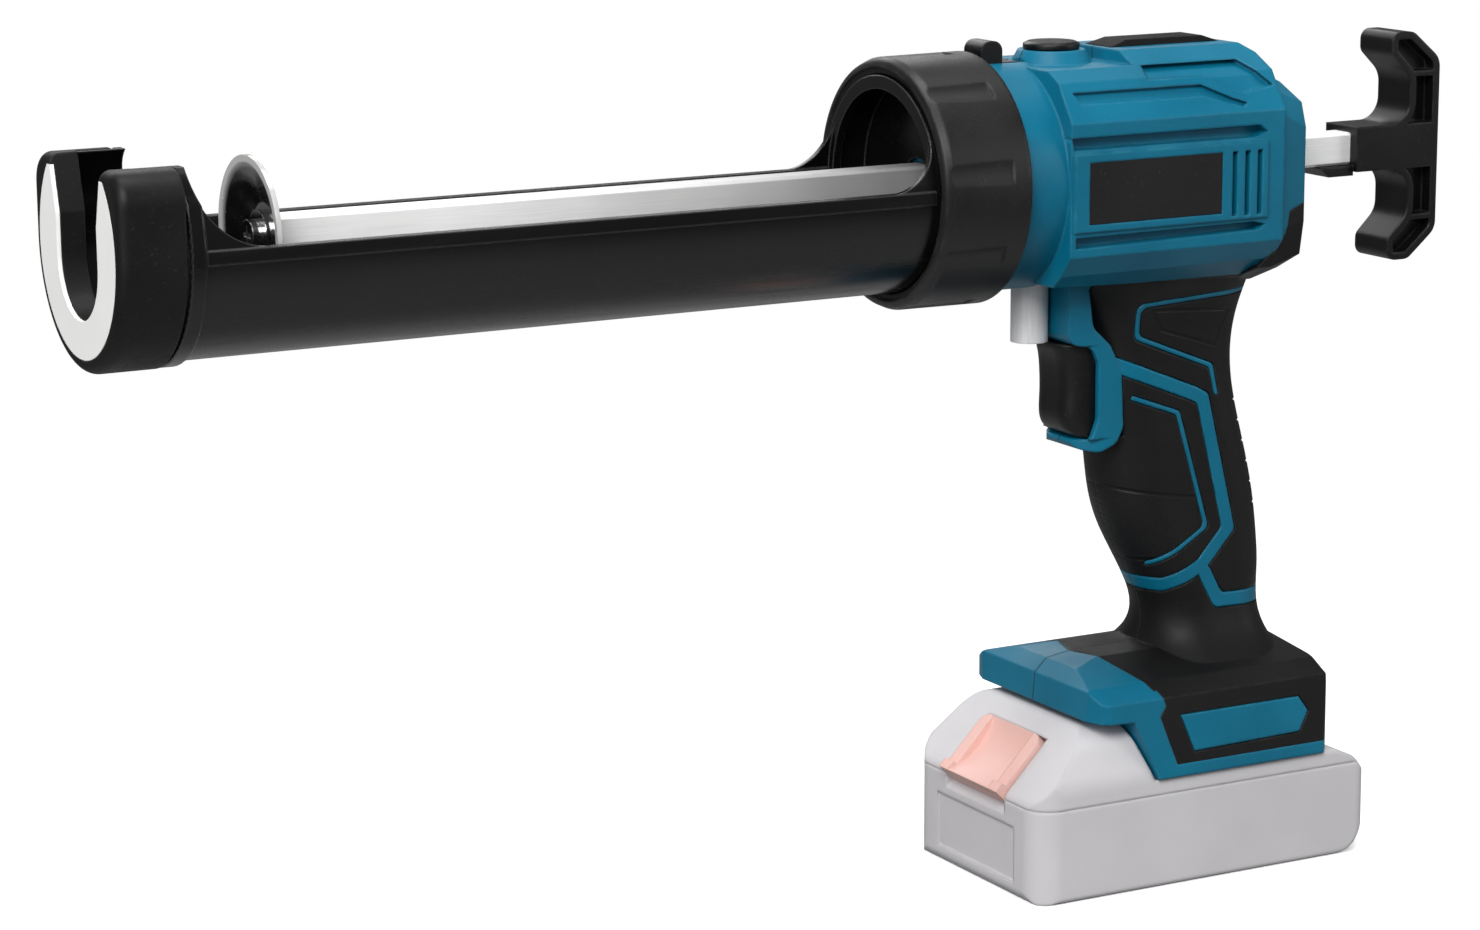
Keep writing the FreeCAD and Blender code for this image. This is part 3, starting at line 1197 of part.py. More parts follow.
def collar():
    """Black ring with a stepped front lip, a bore for the cradle's cup, and shallow finger hollows."""
    bore = "cradle_radius+running_gap"
    wide = "cradle_radius+cup_flange_height+running_gap"
    step = "cup_depth-cup_flange_depth-running_gap"
    shoulder = f"collar_lip*{COLLAR_LIP_SHARE}"
    body = turned_body("collar", [
        ("collar_groove", bore), ("collar_groove", f"{bore}+collar_step"), ("0", f"{bore}+collar_step"),
        ("0", "collar_radius-collar_lip"), (shoulder, f"collar_radius-{shoulder}"),
        ("collar_lip", "collar_radius"), ("collar_length", "collar_radius+collar_flare"),
        ("collar_length", wide), (step, wide), (step, bore)], 0)
    plane = next(item for item in body.Origin.OriginFeatures if item.Role == "YZ_Plane")
    sketch = body.newObject("Sketcher::SketchObject", "collar_hollow")
    sketch.AttachmentSupport = [(plane, "")]
    sketch.MapMode = "FlatFace"
    centre = d.collar_radius + d.scallop_radius - d.scallop_depth
    sketch.addGeometry(Part.Circle(V(0, centre, 0), V(0, 0, 1), d.scallop_radius))
    sketch.addConstraint(Sketcher.Constraint("PointOnObject", 0, 3, -2))
    rise = sketch.addConstraint(Sketcher.Constraint("DistanceY", -1, 1, 0, 3, centre))
    sketch.setExpression(f"Constraints[{rise}]", formula("collar_radius+scallop_radius-scallop_depth"))
    round_size = sketch.addConstraint(Sketcher.Constraint("Radius", 0, d.scallop_radius))
    sketch.setExpression(f"Constraints[{round_size}]", formula("scallop_radius"))
    doc.recompute()
    before = body.Shape.Volume
    hollow = body.newObject("PartDesign::Pocket", "collar_hollow_cut")
    hollow.Profile = sketch
    hollow.Type = 0
    hollow.Reversed = True
    hollow.setExpression("Length", formula("collar_length-2*collar_lip"))
    doc.recompute()
    pattern = body.newObject("PartDesign::PolarPattern", "collar_hollows")
    pattern.Originals = [hollow]
    pattern.Axis = (sketch, ["N_Axis"])
    pattern.Angle = 360
    pattern.Occurrences = SCALLOPS
    body.Tip = pattern
    doc.recompute()
    if body.Shape.Volume >= before:
        raise RuntimeError("the collar's hollows cut nothing")
    piece("collar", body)


def pusher():
    """Dished plate on the rod's front end, with the thick washer and the screw that hold it."""
    hole = "pusher_screw_radius+seat_gap"
    rim = "rod_reach+pusher_dish_depth"
    piece("pusher_plate", turned_body("pusher_plate", [
        ("rod_reach", hole), ("rod_reach", "pusher_flat_radius"), (rim, "pusher_radius-pusher_rim_width"),
        (rim, "pusher_radius"), (f"{rim}+pusher_sheet", "pusher_radius"),
        (f"{rim}+pusher_sheet", "pusher_radius-pusher_rim_width"),
        ("rod_reach+pusher_sheet", "pusher_flat_radius"), ("rod_reach+pusher_sheet", hole)], 180))
    seat = "-rod_reach-pusher_sheet"
    washer = round_bar("washer_disc", "x", "washer_radius", f"{seat}-washer_thickness", seat, "0", "0")
    washer_hole = round_bar("washer_hole", "x", hole, f"{seat}-washer_thickness-cut_overrun",
                            f"{seat}+cut_overrun", "0", "0")
    piece("pusher_washer", cut("washer", washer, washer_hole))
    under_head = f"{seat}-washer_thickness"
    front = f"{under_head}-pusher_head_height"
    head = round_bar("screw_head", "x", "pusher_head_radius", front, under_head, "0", "0")
    tip = "pusher_screw_length-rod_reach"
    shank = round_bar("screw_shank", "x", "pusher_screw_radius", under_head, tip, "0", "0")
    depth = (f"{front}-cut_overrun", f"{front}+drive_recess_depth")
    narrow = ("-drive_recess_width/2", "drive_recess_width/2")
    wide = (f"-pusher_head_radius*{DRIVE_RECESS_SHARE}", f"pusher_head_radius*{DRIVE_RECESS_SHARE}")
    slots = [box("cross_slot_one", depth, narrow, wide), box("cross_slot_two", depth, wide, narrow)]
    piece("pusher_screw", cut("pusher_screw", fuse("pusher_screw", head, shank), *slots))


def small_pieces():
    """Pins, plates, guides, posts, bushes and the electric parts, each from blocks and bars."""
    piece("t_handle_pin", group("t_handle_pin", [round_bar(
        "grip_pin", "y", "pin_radius", "-rod_width/2", "t_width/2", "pin_place", "0")]))

    drop = "-" + PINION_DROP_TEXT
    outer = "(plate_spacing/2+plate_thickness)"
    gear_low = f"({outer}+running_gap)"
    piece("pinion_shaft", group("pinion_shaft", [round_bar(
        "gear_shaft", "y", "shaft_radius", f"-{outer}", f"{gear_low}+gear_width", "pinion_place", drop)]))
    bushes = []
    for side in ("left", "right"):
        spans = {"flange": ("plate_spacing/2-bush_flange", "plate_spacing/2"),
                 "sleeve": ("plate_spacing/2", outer)}
        rings = []
        for part_name, (low, high) in spans.items():
            radius = "bush_flange_radius" if part_name == "flange" else "bush_radius"
            if side == "left":
                low, high = f"-({high})", f"-({low})"
            rings.append(round_bar(f"bush_{part_name}_{side}", "y", radius, low, high, "pinion_place", drop))
        hole = round_bar(f"bush_hole_{side}", "y", "shaft_radius+shaft_gap", "-body_width", "body_width",
                         "pinion_place", drop)
        bushes.append(cut(f"bush_{side}", fuse(f"bush_{side}", *rings), hole))
    piece("shaft_bushes", group("shaft_bushes", bushes))

    motor_rise = "-motor_drop"
    box_low = "(plate_spacing/2-gearbox_length)"
    can_low = f"({box_low}-motor_length)"
    can = round_bar("motor_can", "y", "motor_radius", can_low, box_low, MOTOR_PLACE_TEXT, motor_rise)
    boss = round_bar("motor_end", "y", "motor_boss_radius", f"{can_low}-motor_boss", can_low, MOTOR_PLACE_TEXT,
                     motor_rise)
    piece("motor", fuse("motor", can, boss))
    gear_case = round_bar("gear_case", "y", "gearbox_radius", box_low, "plate_spacing/2", MOTOR_PLACE_TEXT,
                          motor_rise)
    output = round_bar("output_bore", "y", "output_radius+shaft_gap",
                       "plate_spacing/2-output_reach-running_gap", "plate_spacing/2+cut_overrun",
                       MOTOR_PLACE_TEXT, motor_rise)
    piece("gearbox", cut("gearbox", gear_case, output))

    posts = []
    for number, (along, rise) in enumerate(POST_SHARES):
        height = f"{rise}*body_top" if rise > 0 else f"{rise}*body_bottom"
        place = f"plate_front+{along}*(plate_rear-plate_front)"
        posts.append(round_bar(f"plate_post_{number}", "y", "post_radius", "-plate_spacing/2",
                               "plate_spacing/2", place, height))
    piece("plate_posts", group("plate_posts", posts))

    window = (("-rod_width/2-slide_gap", "rod_width/2+slide_gap"),
              ("-rod_height/2-slide_gap", "rod_height/2+slide_gap"))
    start = "(plunger_place-guide_length/2)"
    block = box("guide_block", (start, f"{start}+guide_length"), ("-plate_spacing/2", "plate_spacing/2"),
                ("-guide_drop", "guide_height/2"))
    opening = box("guide_window", (f"{start}-cut_overrun", f"{start}+guide_length+cut_overrun"), *window)
    stem_hole = round_bar("guide_stem_hole", "z", "plunger_stem_radius+running_gap", "-guide_drop-cut_overrun",
                          "plunger_travel+running_gap-plunger_stem_top", "plunger_place", "0")
    piece("rod_guide_front", cut("rod_guide_front", block, opening, stem_hole))
    end = "(collar_length+running_gap+body_length-skin-wall)"
    half = "rear_guide_width/2"
    rear_block = box("rear_guide_block", (f"{end}-guide_length", end), (f"-{half}", half), (f"-{half}", half))
    rear_opening = box("rear_guide_window", (f"{end}-guide_length-cut_overrun", f"{end}+cut_overrun"), *window)
    piece("rod_guide_rear", cut("rod_guide_rear", rear_block, rear_opening))

    middle = "-(trigger_top+trigger_tall/2)"
    switch = box("switch_case", (SWITCH_FRONT_TEXT, f"{SWITCH_FRONT_TEXT}+switch_length"),
                 ("-switch_width/2", "switch_width/2"),
                 (f"{middle}-switch_height/2", f"{middle}+switch_height/2"))
    button_hole = round_bar("switch_hole", "x", "switch_button_radius+running_gap",
                            f"{SWITCH_FRONT_TEXT}-cut_overrun",
                            f"{SWITCH_FRONT_TEXT}+switch_button_reach+cut_overrun", "0", middle)
    piece("trigger_switch", cut("trigger_switch", switch, button_hole))

    ceiling = "(body_top-top_dip-skin-wall)"
    pot = box("pot_case", ("dial_place-pot_width/2", "dial_place+pot_width/2"), ("-pot_width/2", "pot_width/2"),
              (f"{ceiling}-pot_height", ceiling))
    pot_bore = round_bar("pot_bore", "z", "dial_stem_radius+shaft_gap", f"{ceiling}-pot_height/2-running_gap",
                         f"{ceiling}+cut_overrun", "dial_place", "0")
    piece("dial_potentiometer", cut("dial_potentiometer", pot, pot_bore))

    catch_front = "(collar_length+running_gap+running_gap)"
    across = ("-catch_width/2", "catch_width/2")
    tab_front = f"({catch_front}+catch_setback)"
    foot = box("catch_plate", (catch_front, f"{tab_front}+catch_length+catch_foot_reach"), across,
               ("band_radius-catch_foot", "band_radius-slide_gap"))
    tab = box("catch_tab", (tab_front, f"{tab_front}+catch_length"), across,
              ("band_radius-slide_gap", "band_radius+catch_rise"))
    rounded = doc.addObject("Part::Fillet", "catch_rounded")
    rounded.Base = tab
    doc.recompute()
    tab_top = d.band_radius + d.catch_rise - d.slide_gap
    top_edges = [number for number, edge in enumerate(tab.Shape.Edges, start=1)
                 if edge.BoundBox.ZMin > tab_top and edge.BoundBox.YLength > d.slide_gap]
    rounded.Edges = [(number, d.catch_round, d.catch_round) for number in top_edges]
    piece("lock_catch", fuse("lock_catch", foot, rounded))

    plate_low, plate_high = NAMEPLATE_SHARES[0], NAMEPLATE_SHARES[2]
    front = "(collar_length+running_gap)"
    along = (f"{front}+{plate_low[0]}*body_length+seat_gap", f"{front}+{plate_high[0]}*body_length-seat_gap")
    upright = (f"{plate_high[1]}*body_bottom+seat_gap", f"{plate_low[1]}*body_top-seat_gap")
    face = "(body_width/2+frame_proud)"
    plates = [box("nameplate_left", along, (f"seat_gap-{face}", f"plate_recess-{face}"), upright),
              box("nameplate_right", along, (f"{face}-plate_recess", f"{face}-seat_gap"), upright)]
    piece("nameplates", group("nameplates", plates))

    floor = "(-plunger_seat)"
    shaft = round_bar("plunger_shaft", "z", "plunger_radius", "-plunger_bottom", f"{floor}+seat_gap",
                      "plunger_place", "0")
    flange = round_bar("plunger_flange_disc", "z", "plunger_flange_radius", f"{floor}+seat_gap",
                       f"{floor}+seat_gap+plunger_flange", "plunger_place", "0")
    stem = round_bar("plunger_stem", "z", "plunger_stem_radius", f"{floor}+seat_gap", "-plunger_stem_top",
                     "plunger_place", "0")
    piece("release_button", fuse("release_button", shaft, flange, stem))

    screws = []
    for number, (x, z) in enumerate(SCREW_SHARES):
        spot = (f"{x}*handle_reach", f"-({z})*grip_drop")
        shank = round_bar(f"shell_screw_shank_{number}", "y", "screw_radius", "screw_seat-screw_length",
                          "screw_seat", *spot)
        head = round_bar(f"shell_screw_head_{number}", "y", "screw_head_radius", "screw_seat",
                         "screw_seat+screw_head_height", *spot)
        screws.append(fuse(f"shell_screw_{number}", shank, head))
    piece("housing_screws", group("housing_screws", screws))

    block = box("terminal_case", ("terminal_place-running_gap", "terminal_place+terminal_length"),
                ("-terminal_width/2", "terminal_width/2"), (FLOOR_TEXT, f"{FLOOR_TEXT}+terminal_height"))
    blades = [box(f"blade_{name}", ("terminal_place+running_gap", "terminal_place+blade_length"),
                  (f"{side}*blade_spacing/2-blade_sheet/2", f"{side}*blade_spacing/2+blade_sheet/2"),
                  (f"{FLOOR_TEXT}-base_floor-blade_reach", f"{FLOOR_TEXT}+cut_overrun"))
              for name, side in (("left", -1), ("right", 1))]
    piece("terminal_block", fuse("terminal_block", block, *blades))
    board_low = f"({FLOOR_TEXT}+terminal_height)"
    piece("control_board", group("control_board", [box(
        "board_sheet_block", ("terminal_place-board_sheet", "terminal_place-board_sheet+board_length"),
        ("-board_width/2", "board_width/2"), (board_low, f"{board_low}+board_sheet"))]))

    stand = "(-grip_drop-base_height-battery_height)"
    cells = []
    for number in range(CELLS):
        place = f"battery_centre-cut_overrun+({number}-({CELLS}-1)/2)*(2*cell_radius+slide_gap)"
        cells.append(round_bar(f"cell_{number}", "y", "cell_radius", "-cell_length/2", "cell_length/2", place,
                               f"{stand}+battery_wall+cell_radius+slide_gap"))
    piece("battery_cells", group("battery_cells", cells))

    contacts = []
    bottom = "(-grip_drop-base_height)"
    for side in (-1, 1):
        for face in (-1, 1):
            wall = f"{side}*blade_spacing/2+{face}*contact_slot/2"
            ends = (wall, f"{wall}+contact_sheet") if face < 0 else (f"{wall}-contact_sheet", wall)
            contacts.append(box(f"contact_{len(contacts)}",
                                ("terminal_place+running_gap", "terminal_place+blade_length"), ends,
                                (f"{bottom}+seat_gap", f"{bottom}+rail_rise-slide_gap")))
    piece("battery_terminals", group("battery_terminals", contacts))

    fasteners = []
    seam_screw = f"({stand}+{BATTERY_SIDE_SHARES[5][1]}*battery_height-battery_wall-running_gap)"
    for number, (along, side) in enumerate([(a, s) for a in (0, BATTERY_SCREW_SHARE) for s in (-1, 1)]):
        spot = (f"battery_centre-battery_length/2+battery_screw_inset+{along}*battery_length",
                f"{side}*battery_screw_spread/2")
        seat = f"({stand}+battery_screw_inset)"
        head = round_bar(f"pack_screw_head_{number}", "z", "screw_head_radius", f"{seat}-screw_head_height",
                         seat, *spot)
        shank = round_bar(f"pack_screw_shank_{number}", "z", "screw_radius", seat, seam_screw, *spot)
        fasteners.append(fuse(f"pack_screw_{number}", head, shank))
    piece("battery_screws", group("battery_screws", fasteners))


solid("cradle", cradle())
solid("front_cap", front_cap())
solid("front_face", front_face())
pusher()
solid("rack_rod", rack_rod())
solid("t_handle", t_handle())
collar()
housing_and_grips()
drive_train()
gear_plates()
trigger()
speed_dial()
top_pad()
release_spring()
battery()
small_pieces()
doc.recompute()

for thing in doc.Objects:
    if {"Invalid", "Error"} & set(thing.State):
        raise RuntimeError(f"{thing.Label} did not build")
for thing in PIECES:
    if thing.Shape.isNull() or not thing.Shape.isValid() or not thing.Shape.Solids:
        raise RuntimeError(f"{thing.Label} has no valid solid")
os.makedirs("parts", exist_ok=True)
for thing in PIECES:
    thing.Shape.exportStep(f"parts/{thing.Label}.step")
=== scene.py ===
"""A cordless caulking tool on a pale studio floor: finishes, light and the photograph's camera."""
import bpy
import math
from mathutils import Matrix, Vector

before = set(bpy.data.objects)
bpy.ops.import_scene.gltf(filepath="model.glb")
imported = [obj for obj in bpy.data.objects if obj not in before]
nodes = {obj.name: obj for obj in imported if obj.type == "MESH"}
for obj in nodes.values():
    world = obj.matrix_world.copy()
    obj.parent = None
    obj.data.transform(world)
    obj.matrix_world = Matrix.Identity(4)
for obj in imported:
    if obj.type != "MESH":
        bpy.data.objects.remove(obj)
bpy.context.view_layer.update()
# Pattern sizes and reliefs of the finishes are in millimetres, places in the scene in metres
MM = 0.001

# Places along the barrel in metres for the rod's painted shade, which stands for the collar's cup seen in the
# rod: it is nil up to the first, darkens up to the collar's front, and clears again from inside the body to
# the rear of the end cover.
ROD_BRIGHT_END = -0.235
COLLAR_FRONT = -0.099
ROD_SHADE_END = 0.01
COVER_REAR = 0.037
# Height of the barrel's axis, and the radius at which the painted highlight on the pusher's rim starts, in
# metres
BARREL_HEIGHT = 0.226
RIM_START = 0.0188
# The grip's two sunk panels: corners in the side view, in millimetres
PALM_PANELS = [[(-40, 128), (9.5, 119.7), (10.6, 108.9), (-2.8, 100.6), (-16.1, 98.4), (-40, 97)],
               [(-10.1, 182), (18.6, 180.2), (15, 168.6), (-6.2, 175.3)]]
# Parts of a noise's range: its broad middle, its middle, and where patches, specks, rarer specks and
# scratches start and are full
BROAD = (0.3, 0.7)
MIDDLE = (0.35, 0.65)
PATCHES = (0.4, 0.62)
SPECKS = (0.66, 0.78)
RARE_SPECKS = (0.7, 0.78)
SCRATCHES = (0.66, 0.72)


def paint(code):
    """An sRGB hex colour as linear red, green, blue and alpha."""
    shares = [int(code[place:place + 2], 16) / 255 for place in (1, 3, 5)]
    return tuple(s / 12.92 if s <= 0.04045 else ((s + 0.055) / 1.055) ** 2.4 for s in shares) + (1.0,)


def add(tree, kind, *values, **words):
    """Adds a shader node. Small words are its settings and capitalised ones its sockets; values without a
    word fill the sockets in use from the first. A node given as a value stands for its first output in
    use."""
    made = tree.nodes.new("ShaderNode" + kind)
    for word, value in words.items():
        if word.islower():
            setattr(made, word, value)
    filled = list(zip([socket for socket in made.inputs if socket.enabled], values))
    for word, value in words.items():
        if not word.islower():
            filled.append((made.inputs[word.replace("_", " ")], value))
    for socket, value in filled:
        if isinstance(value, bpy.types.Node):
            value = next(output for output in value.outputs if output.enabled)
        if isinstance(value, bpy.types.NodeSocket):
            tree.links.new(value, socket)
        else:
            socket.default_value = value
    return made


def blank(name):
    """A new material with an empty tree, and the place on the piece that its patterns are laid by."""
    material = bpy.data.materials.new(name)
    material.use_nodes = True
    tree = material.node_tree
    tree.nodes.clear()
    return material, tree, add(tree, "TexCoord").outputs["Object"]


def grain(tree, where, size, detail, stretch=(1, 1, 1)):
    """A cloudy pattern whose lumps are a size in millimetres, drawn out along the axes by stretch."""
    scaled = add(tree, "VectorMath", where, [1 / way for way in stretch], operation="MULTIPLY")
    return add(tree, "TexNoise", Vector=scaled, Scale=1 / (size * MM), Detail=detail).outputs["Fac"]


def rounded_edges(tree, radius):
    """The normal with edges rounded by a radius in millimetres, and a mask that is bright along them."""
    flat = 0.995
    turned = 0.86
    soft = add(tree, "Bevel", Radius=radius * MM, samples=4)
    hard = add(tree, "NewGeometry").outputs["Normal"]
    facing = add(tree, "VectorMath", soft, hard, operation="DOT_PRODUCT")
    return soft, add(tree, "MapRange", facing, flat, turned)


def moulded(name, light, dark, rough, grit, relief, edge, wear_dust_and_highlight="#6c6c6b", worn_and_highlit=0.2, shine=0.3, dusty=0.12,
            over=None):
    """Moulded polymer: clouded colour, sprayed mould grain, a little dust, and rounded edges mixed in patches
    toward a wear tone, part wear and part painted highlight along them. The real grain is too fine to show,
    so it is drawn as coarse as grit says.
    Grit, relief and edge are in millimetres."""
    cloud_size = 38
    smear_size = 22
    rub_size = 7
    dust_size = 0.8
    smear_gloss = 0.07
    grain_gloss = 0.05
    material, tree, where = blank(name)
    soft, edges = rounded_edges(tree, edge)
    clouds = add(tree, "MapRange", grain(tree, where, cloud_size, detail=4), *MIDDLE)
    base = add(tree, "Mix", clouds, paint(light), paint(dark), data_type="RGBA")
    dust = add(tree, "MapRange", grain(tree, where, dust_size, detail=1), *RARE_SPECKS, 0, dusty)
    base = add(tree, "Mix", dust, base, paint(wear_dust_and_highlight), data_type="RGBA")
    # Part wear, part painted highlight: in patches the rounded edges are mixed toward the wear tone.
    patches = add(tree, "MapRange", grain(tree, where, rub_size, detail=5), *PATCHES, 0, worn_and_highlit)
    toned_edges = add(tree, "Math", edges, patches, operation="MULTIPLY")
    base = add(tree, "Mix", toned_edges, base, paint(wear_dust_and_highlight), data_type="RGBA")
    if over:
        base = over(tree, where, base)
    smears = grain(tree, where, smear_size, detail=6)
    smears = add(tree, "MapRange", smears, *BROAD, rough - smear_gloss, rough + smear_gloss)
    mould_grain = grain(tree, where, grit, detail=2)
    sparkle = add(tree, "MapRange", mould_grain, *BROAD, -grain_gloss, grain_gloss)
    roughness = add(tree, "Math", smears, sparkle, operation="ADD")
    bump = add(tree, "Bump", Strength=1, Distance=relief * MM, Height=mould_grain, Normal=soft)
    shader = add(tree, "BsdfPrincipled", Base_Color=base, Roughness=roughness, Normal=bump,
                 Specular_IOR_Level=shine)
    add(tree, "OutputMaterial", shader)
    return material


def plated(name, light, dark, rough, stretch, edge, relief, metallic=1.0, over=None):
    """Bare or plated metal: drawn or turned lines, faint smears, a painted highlight of white along the edges
    and a few scratches.
    """
    line_width = 0.35
    smear_size = 16
    scratch_size = 1.3
    scratch_stretch = 0.5
    scratch_gloss = 0.12
    smear_range = (0.3, 0.75)
    clean_gloss = 0.7
    smeared_gloss = 1.5
    edge_highlight = 0.3
    material, tree, where = blank(name)
    soft, edges = rounded_edges(tree, edge)
    lines = grain(tree, where, line_width, detail=3, stretch=stretch)
    drawn = add(tree, "MapRange", lines, *BROAD)
    base = add(tree, "Mix", drawn, paint(light), paint(dark), data_type="RGBA")
    # Painted highlight: white is mixed into the colour along the rounded edges.
    painted_edge_highlight = add(tree, "Math", edges, edge_highlight, operation="MULTIPLY")
    base = add(tree, "Mix", painted_edge_highlight, base, paint("#ffffff"), data_type="RGBA")
    if over:
        base, metallic = over(tree, where, base, metallic)
    smears = grain(tree, where, smear_size, detail=5)
    smears = add(tree, "MapRange", smears, *smear_range, rough * clean_gloss, rough * smeared_gloss)
    scratches = grain(tree, where, scratch_size, detail=2, stretch=[way * scratch_stretch for way in stretch])
    scored = add(tree, "MapRange", scratches, *SCRATCHES, 0, scratch_gloss)
    roughness = add(tree, "Math", smears, scored, operation="ADD")
    bump = add(tree, "Bump", Strength=1, Distance=relief * MM, Height=lines, Normal=soft)
    shader = add(tree, "BsdfPrincipled", Base_Color=base, Metallic=metallic, Roughness=roughness, Normal=bump)
    add(tree, "OutputMaterial", shader)
    return material


def shell_line(tree, where, base):
    """The fine dark line where the two shell halves meet along the tool's middle."""
    line_half = 0.12
    fade_half = 0.4
    depth = 0.75
    across = add(tree, "SeparateXYZ", where).outputs["Y"]
    away = add(tree, "Math", across, operation="ABSOLUTE")
    line = add(tree, "MapRange", away, line_half * MM, fade_half * MM, depth, 0)
    return add(tree, "Mix", line, base, paint("#02232d"), data_type="RGBA")


def painted_rod_shade(tree, where, base, metallic):
    """Painted shade and reflection: darkens the rod's colour towards the collar, standing for the collar's
    cup mirrored in it; behind the body the colour is bright again.
    """
    darkest = 0.72
    rear = 0.1
    along = add(tree, "SeparateXYZ", where).outputs["X"]
    shade = add(tree, "MapRange", along, ROD_BRIGHT_END, COLLAR_FRONT, 0, darkest)
    clear = add(tree, "MapRange", along, ROD_SHADE_END, COVER_REAR, 1, rear)
    shade = add(tree, "Math", shade, clear, operation="MULTIPLY")
    return add(tree, "Mix", shade, base, paint("#3a3a3b"), data_type="RGBA"), metallic


def painted_dish_rim(tree, where, base, metallic):
    """Painted highlight: colours the pressed rim pale and makes it mostly non-metallic, so it shows as a
    bright ring round the mirror-like hollow.
    """
    rim_blend = 2
    rim_metallic = 0.25
    spot = add(tree, "VectorMath", where, (0, 1, 1), operation="MULTIPLY")
    away = add(tree, "VectorMath", spot, (0, 0, BARREL_HEIGHT), operation="DISTANCE")
    highlight_ring = add(tree, "MapRange", away, RIM_START, RIM_START + rim_blend * MM)
    ring_metallic = add(tree, "MapRange", highlight_ring, 0, 1, metallic, rim_metallic)
    return add(tree, "Mix", highlight_ring, base, paint("#cfcfce"), data_type="RGBA"), ring_metallic


def enamelled_sheet():
    """Stoved gloss black enamel on pressed sheet: it gives long soft reflections with slight orange peel,
    dust, fine rub marks and edges paled in colour, part wear and part painted highlight."""
    edge_radius = 0.8
    peel_size = 2.6
    peel_depth = 0.012
    dust_size = 0.7
    dust_strength = 0.2
    drift_size = 40
    drift_range = (0.45, 0.7)
    cloud_size = 60
    edge_wear_and_highlight = 0.35
    rub_width = 3
    rub_stretch = (14, 1, 1)
    rub_range = (0.5, 0.75)
    gloss_range = (0.22, 0.36)
    material, tree, where = blank("cradle_enamel")
    soft, edges = rounded_edges(tree, edge_radius)
    specks = add(tree, "MapRange", grain(tree, where, dust_size, detail=2), *SPECKS, 0, dust_strength)
    drifts = add(tree, "MapRange", grain(tree, where, drift_size, detail=3), *drift_range)
    dust = add(tree, "Math", specks, drifts, operation="MULTIPLY")
    clouds = add(tree, "MapRange", grain(tree, where, cloud_size, detail=3), *BROAD)
    base = add(tree, "Mix", clouds, paint("#070708"), paint("#0d0d0e"), data_type="RGBA")
    base = add(tree, "Mix", dust, base, paint("#4b4a49"), data_type="RGBA")
    # Part wear, part painted highlight: the rounded edges are mixed toward pale grey so thin bright lines run
    # along the rims.
    worn_and_highlit = add(tree, "Math", edges, edge_wear_and_highlight, operation="MULTIPLY")
    base = add(tree, "Mix", worn_and_highlit, base, paint("#6e6e70"), data_type="RGBA")
    rubs = grain(tree, where, rub_width, detail=4, stretch=rub_stretch)
    roughness = add(tree, "MapRange", rubs, *rub_range, *gloss_range)
    peel = grain(tree, where, peel_size, detail=2)
    bump = add(tree, "Bump", Strength=1, Distance=peel_depth * MM, Height=peel, Normal=soft)
    shader = add(tree, "BsdfPrincipled", Base_Color=base, Roughness=roughness, Normal=bump,
                 Specular_IOR_Level=0.4)
    add(tree, "OutputMaterial", shader)
    return material


def panel_edge(tree, where, corners):
    """How far a point lies outside a panel drawn by its corners in the side view, in metres; inside is
    negative."""
    middle = [sum(place) / len(corners) for place in zip(*corners)]
    outside = None
    for number, (x, z) in enumerate(corners):
        next_x, next_z = corners[(number + 1) % len(corners)]
        run = math.hypot(next_x - x, next_z - z)
        way = [(next_z - z) / run, 0, (x - next_x) / run]
        if way[0] * (middle[0] - x) + way[2] * (middle[1] - z) > 0:
            way = [-way[0], 0, -way[2]]
        reach = add(tree, "VectorMath", where, way, operation="DOT_PRODUCT")
        gap = add(tree, "Math", reach, -(way[0] * x + way[2] * z) * MM, operation="ADD")
        if outside is None:
            outside = gap
        else:
            outside = add(tree, "Math", outside, gap, operation="MAXIMUM")
    return outside


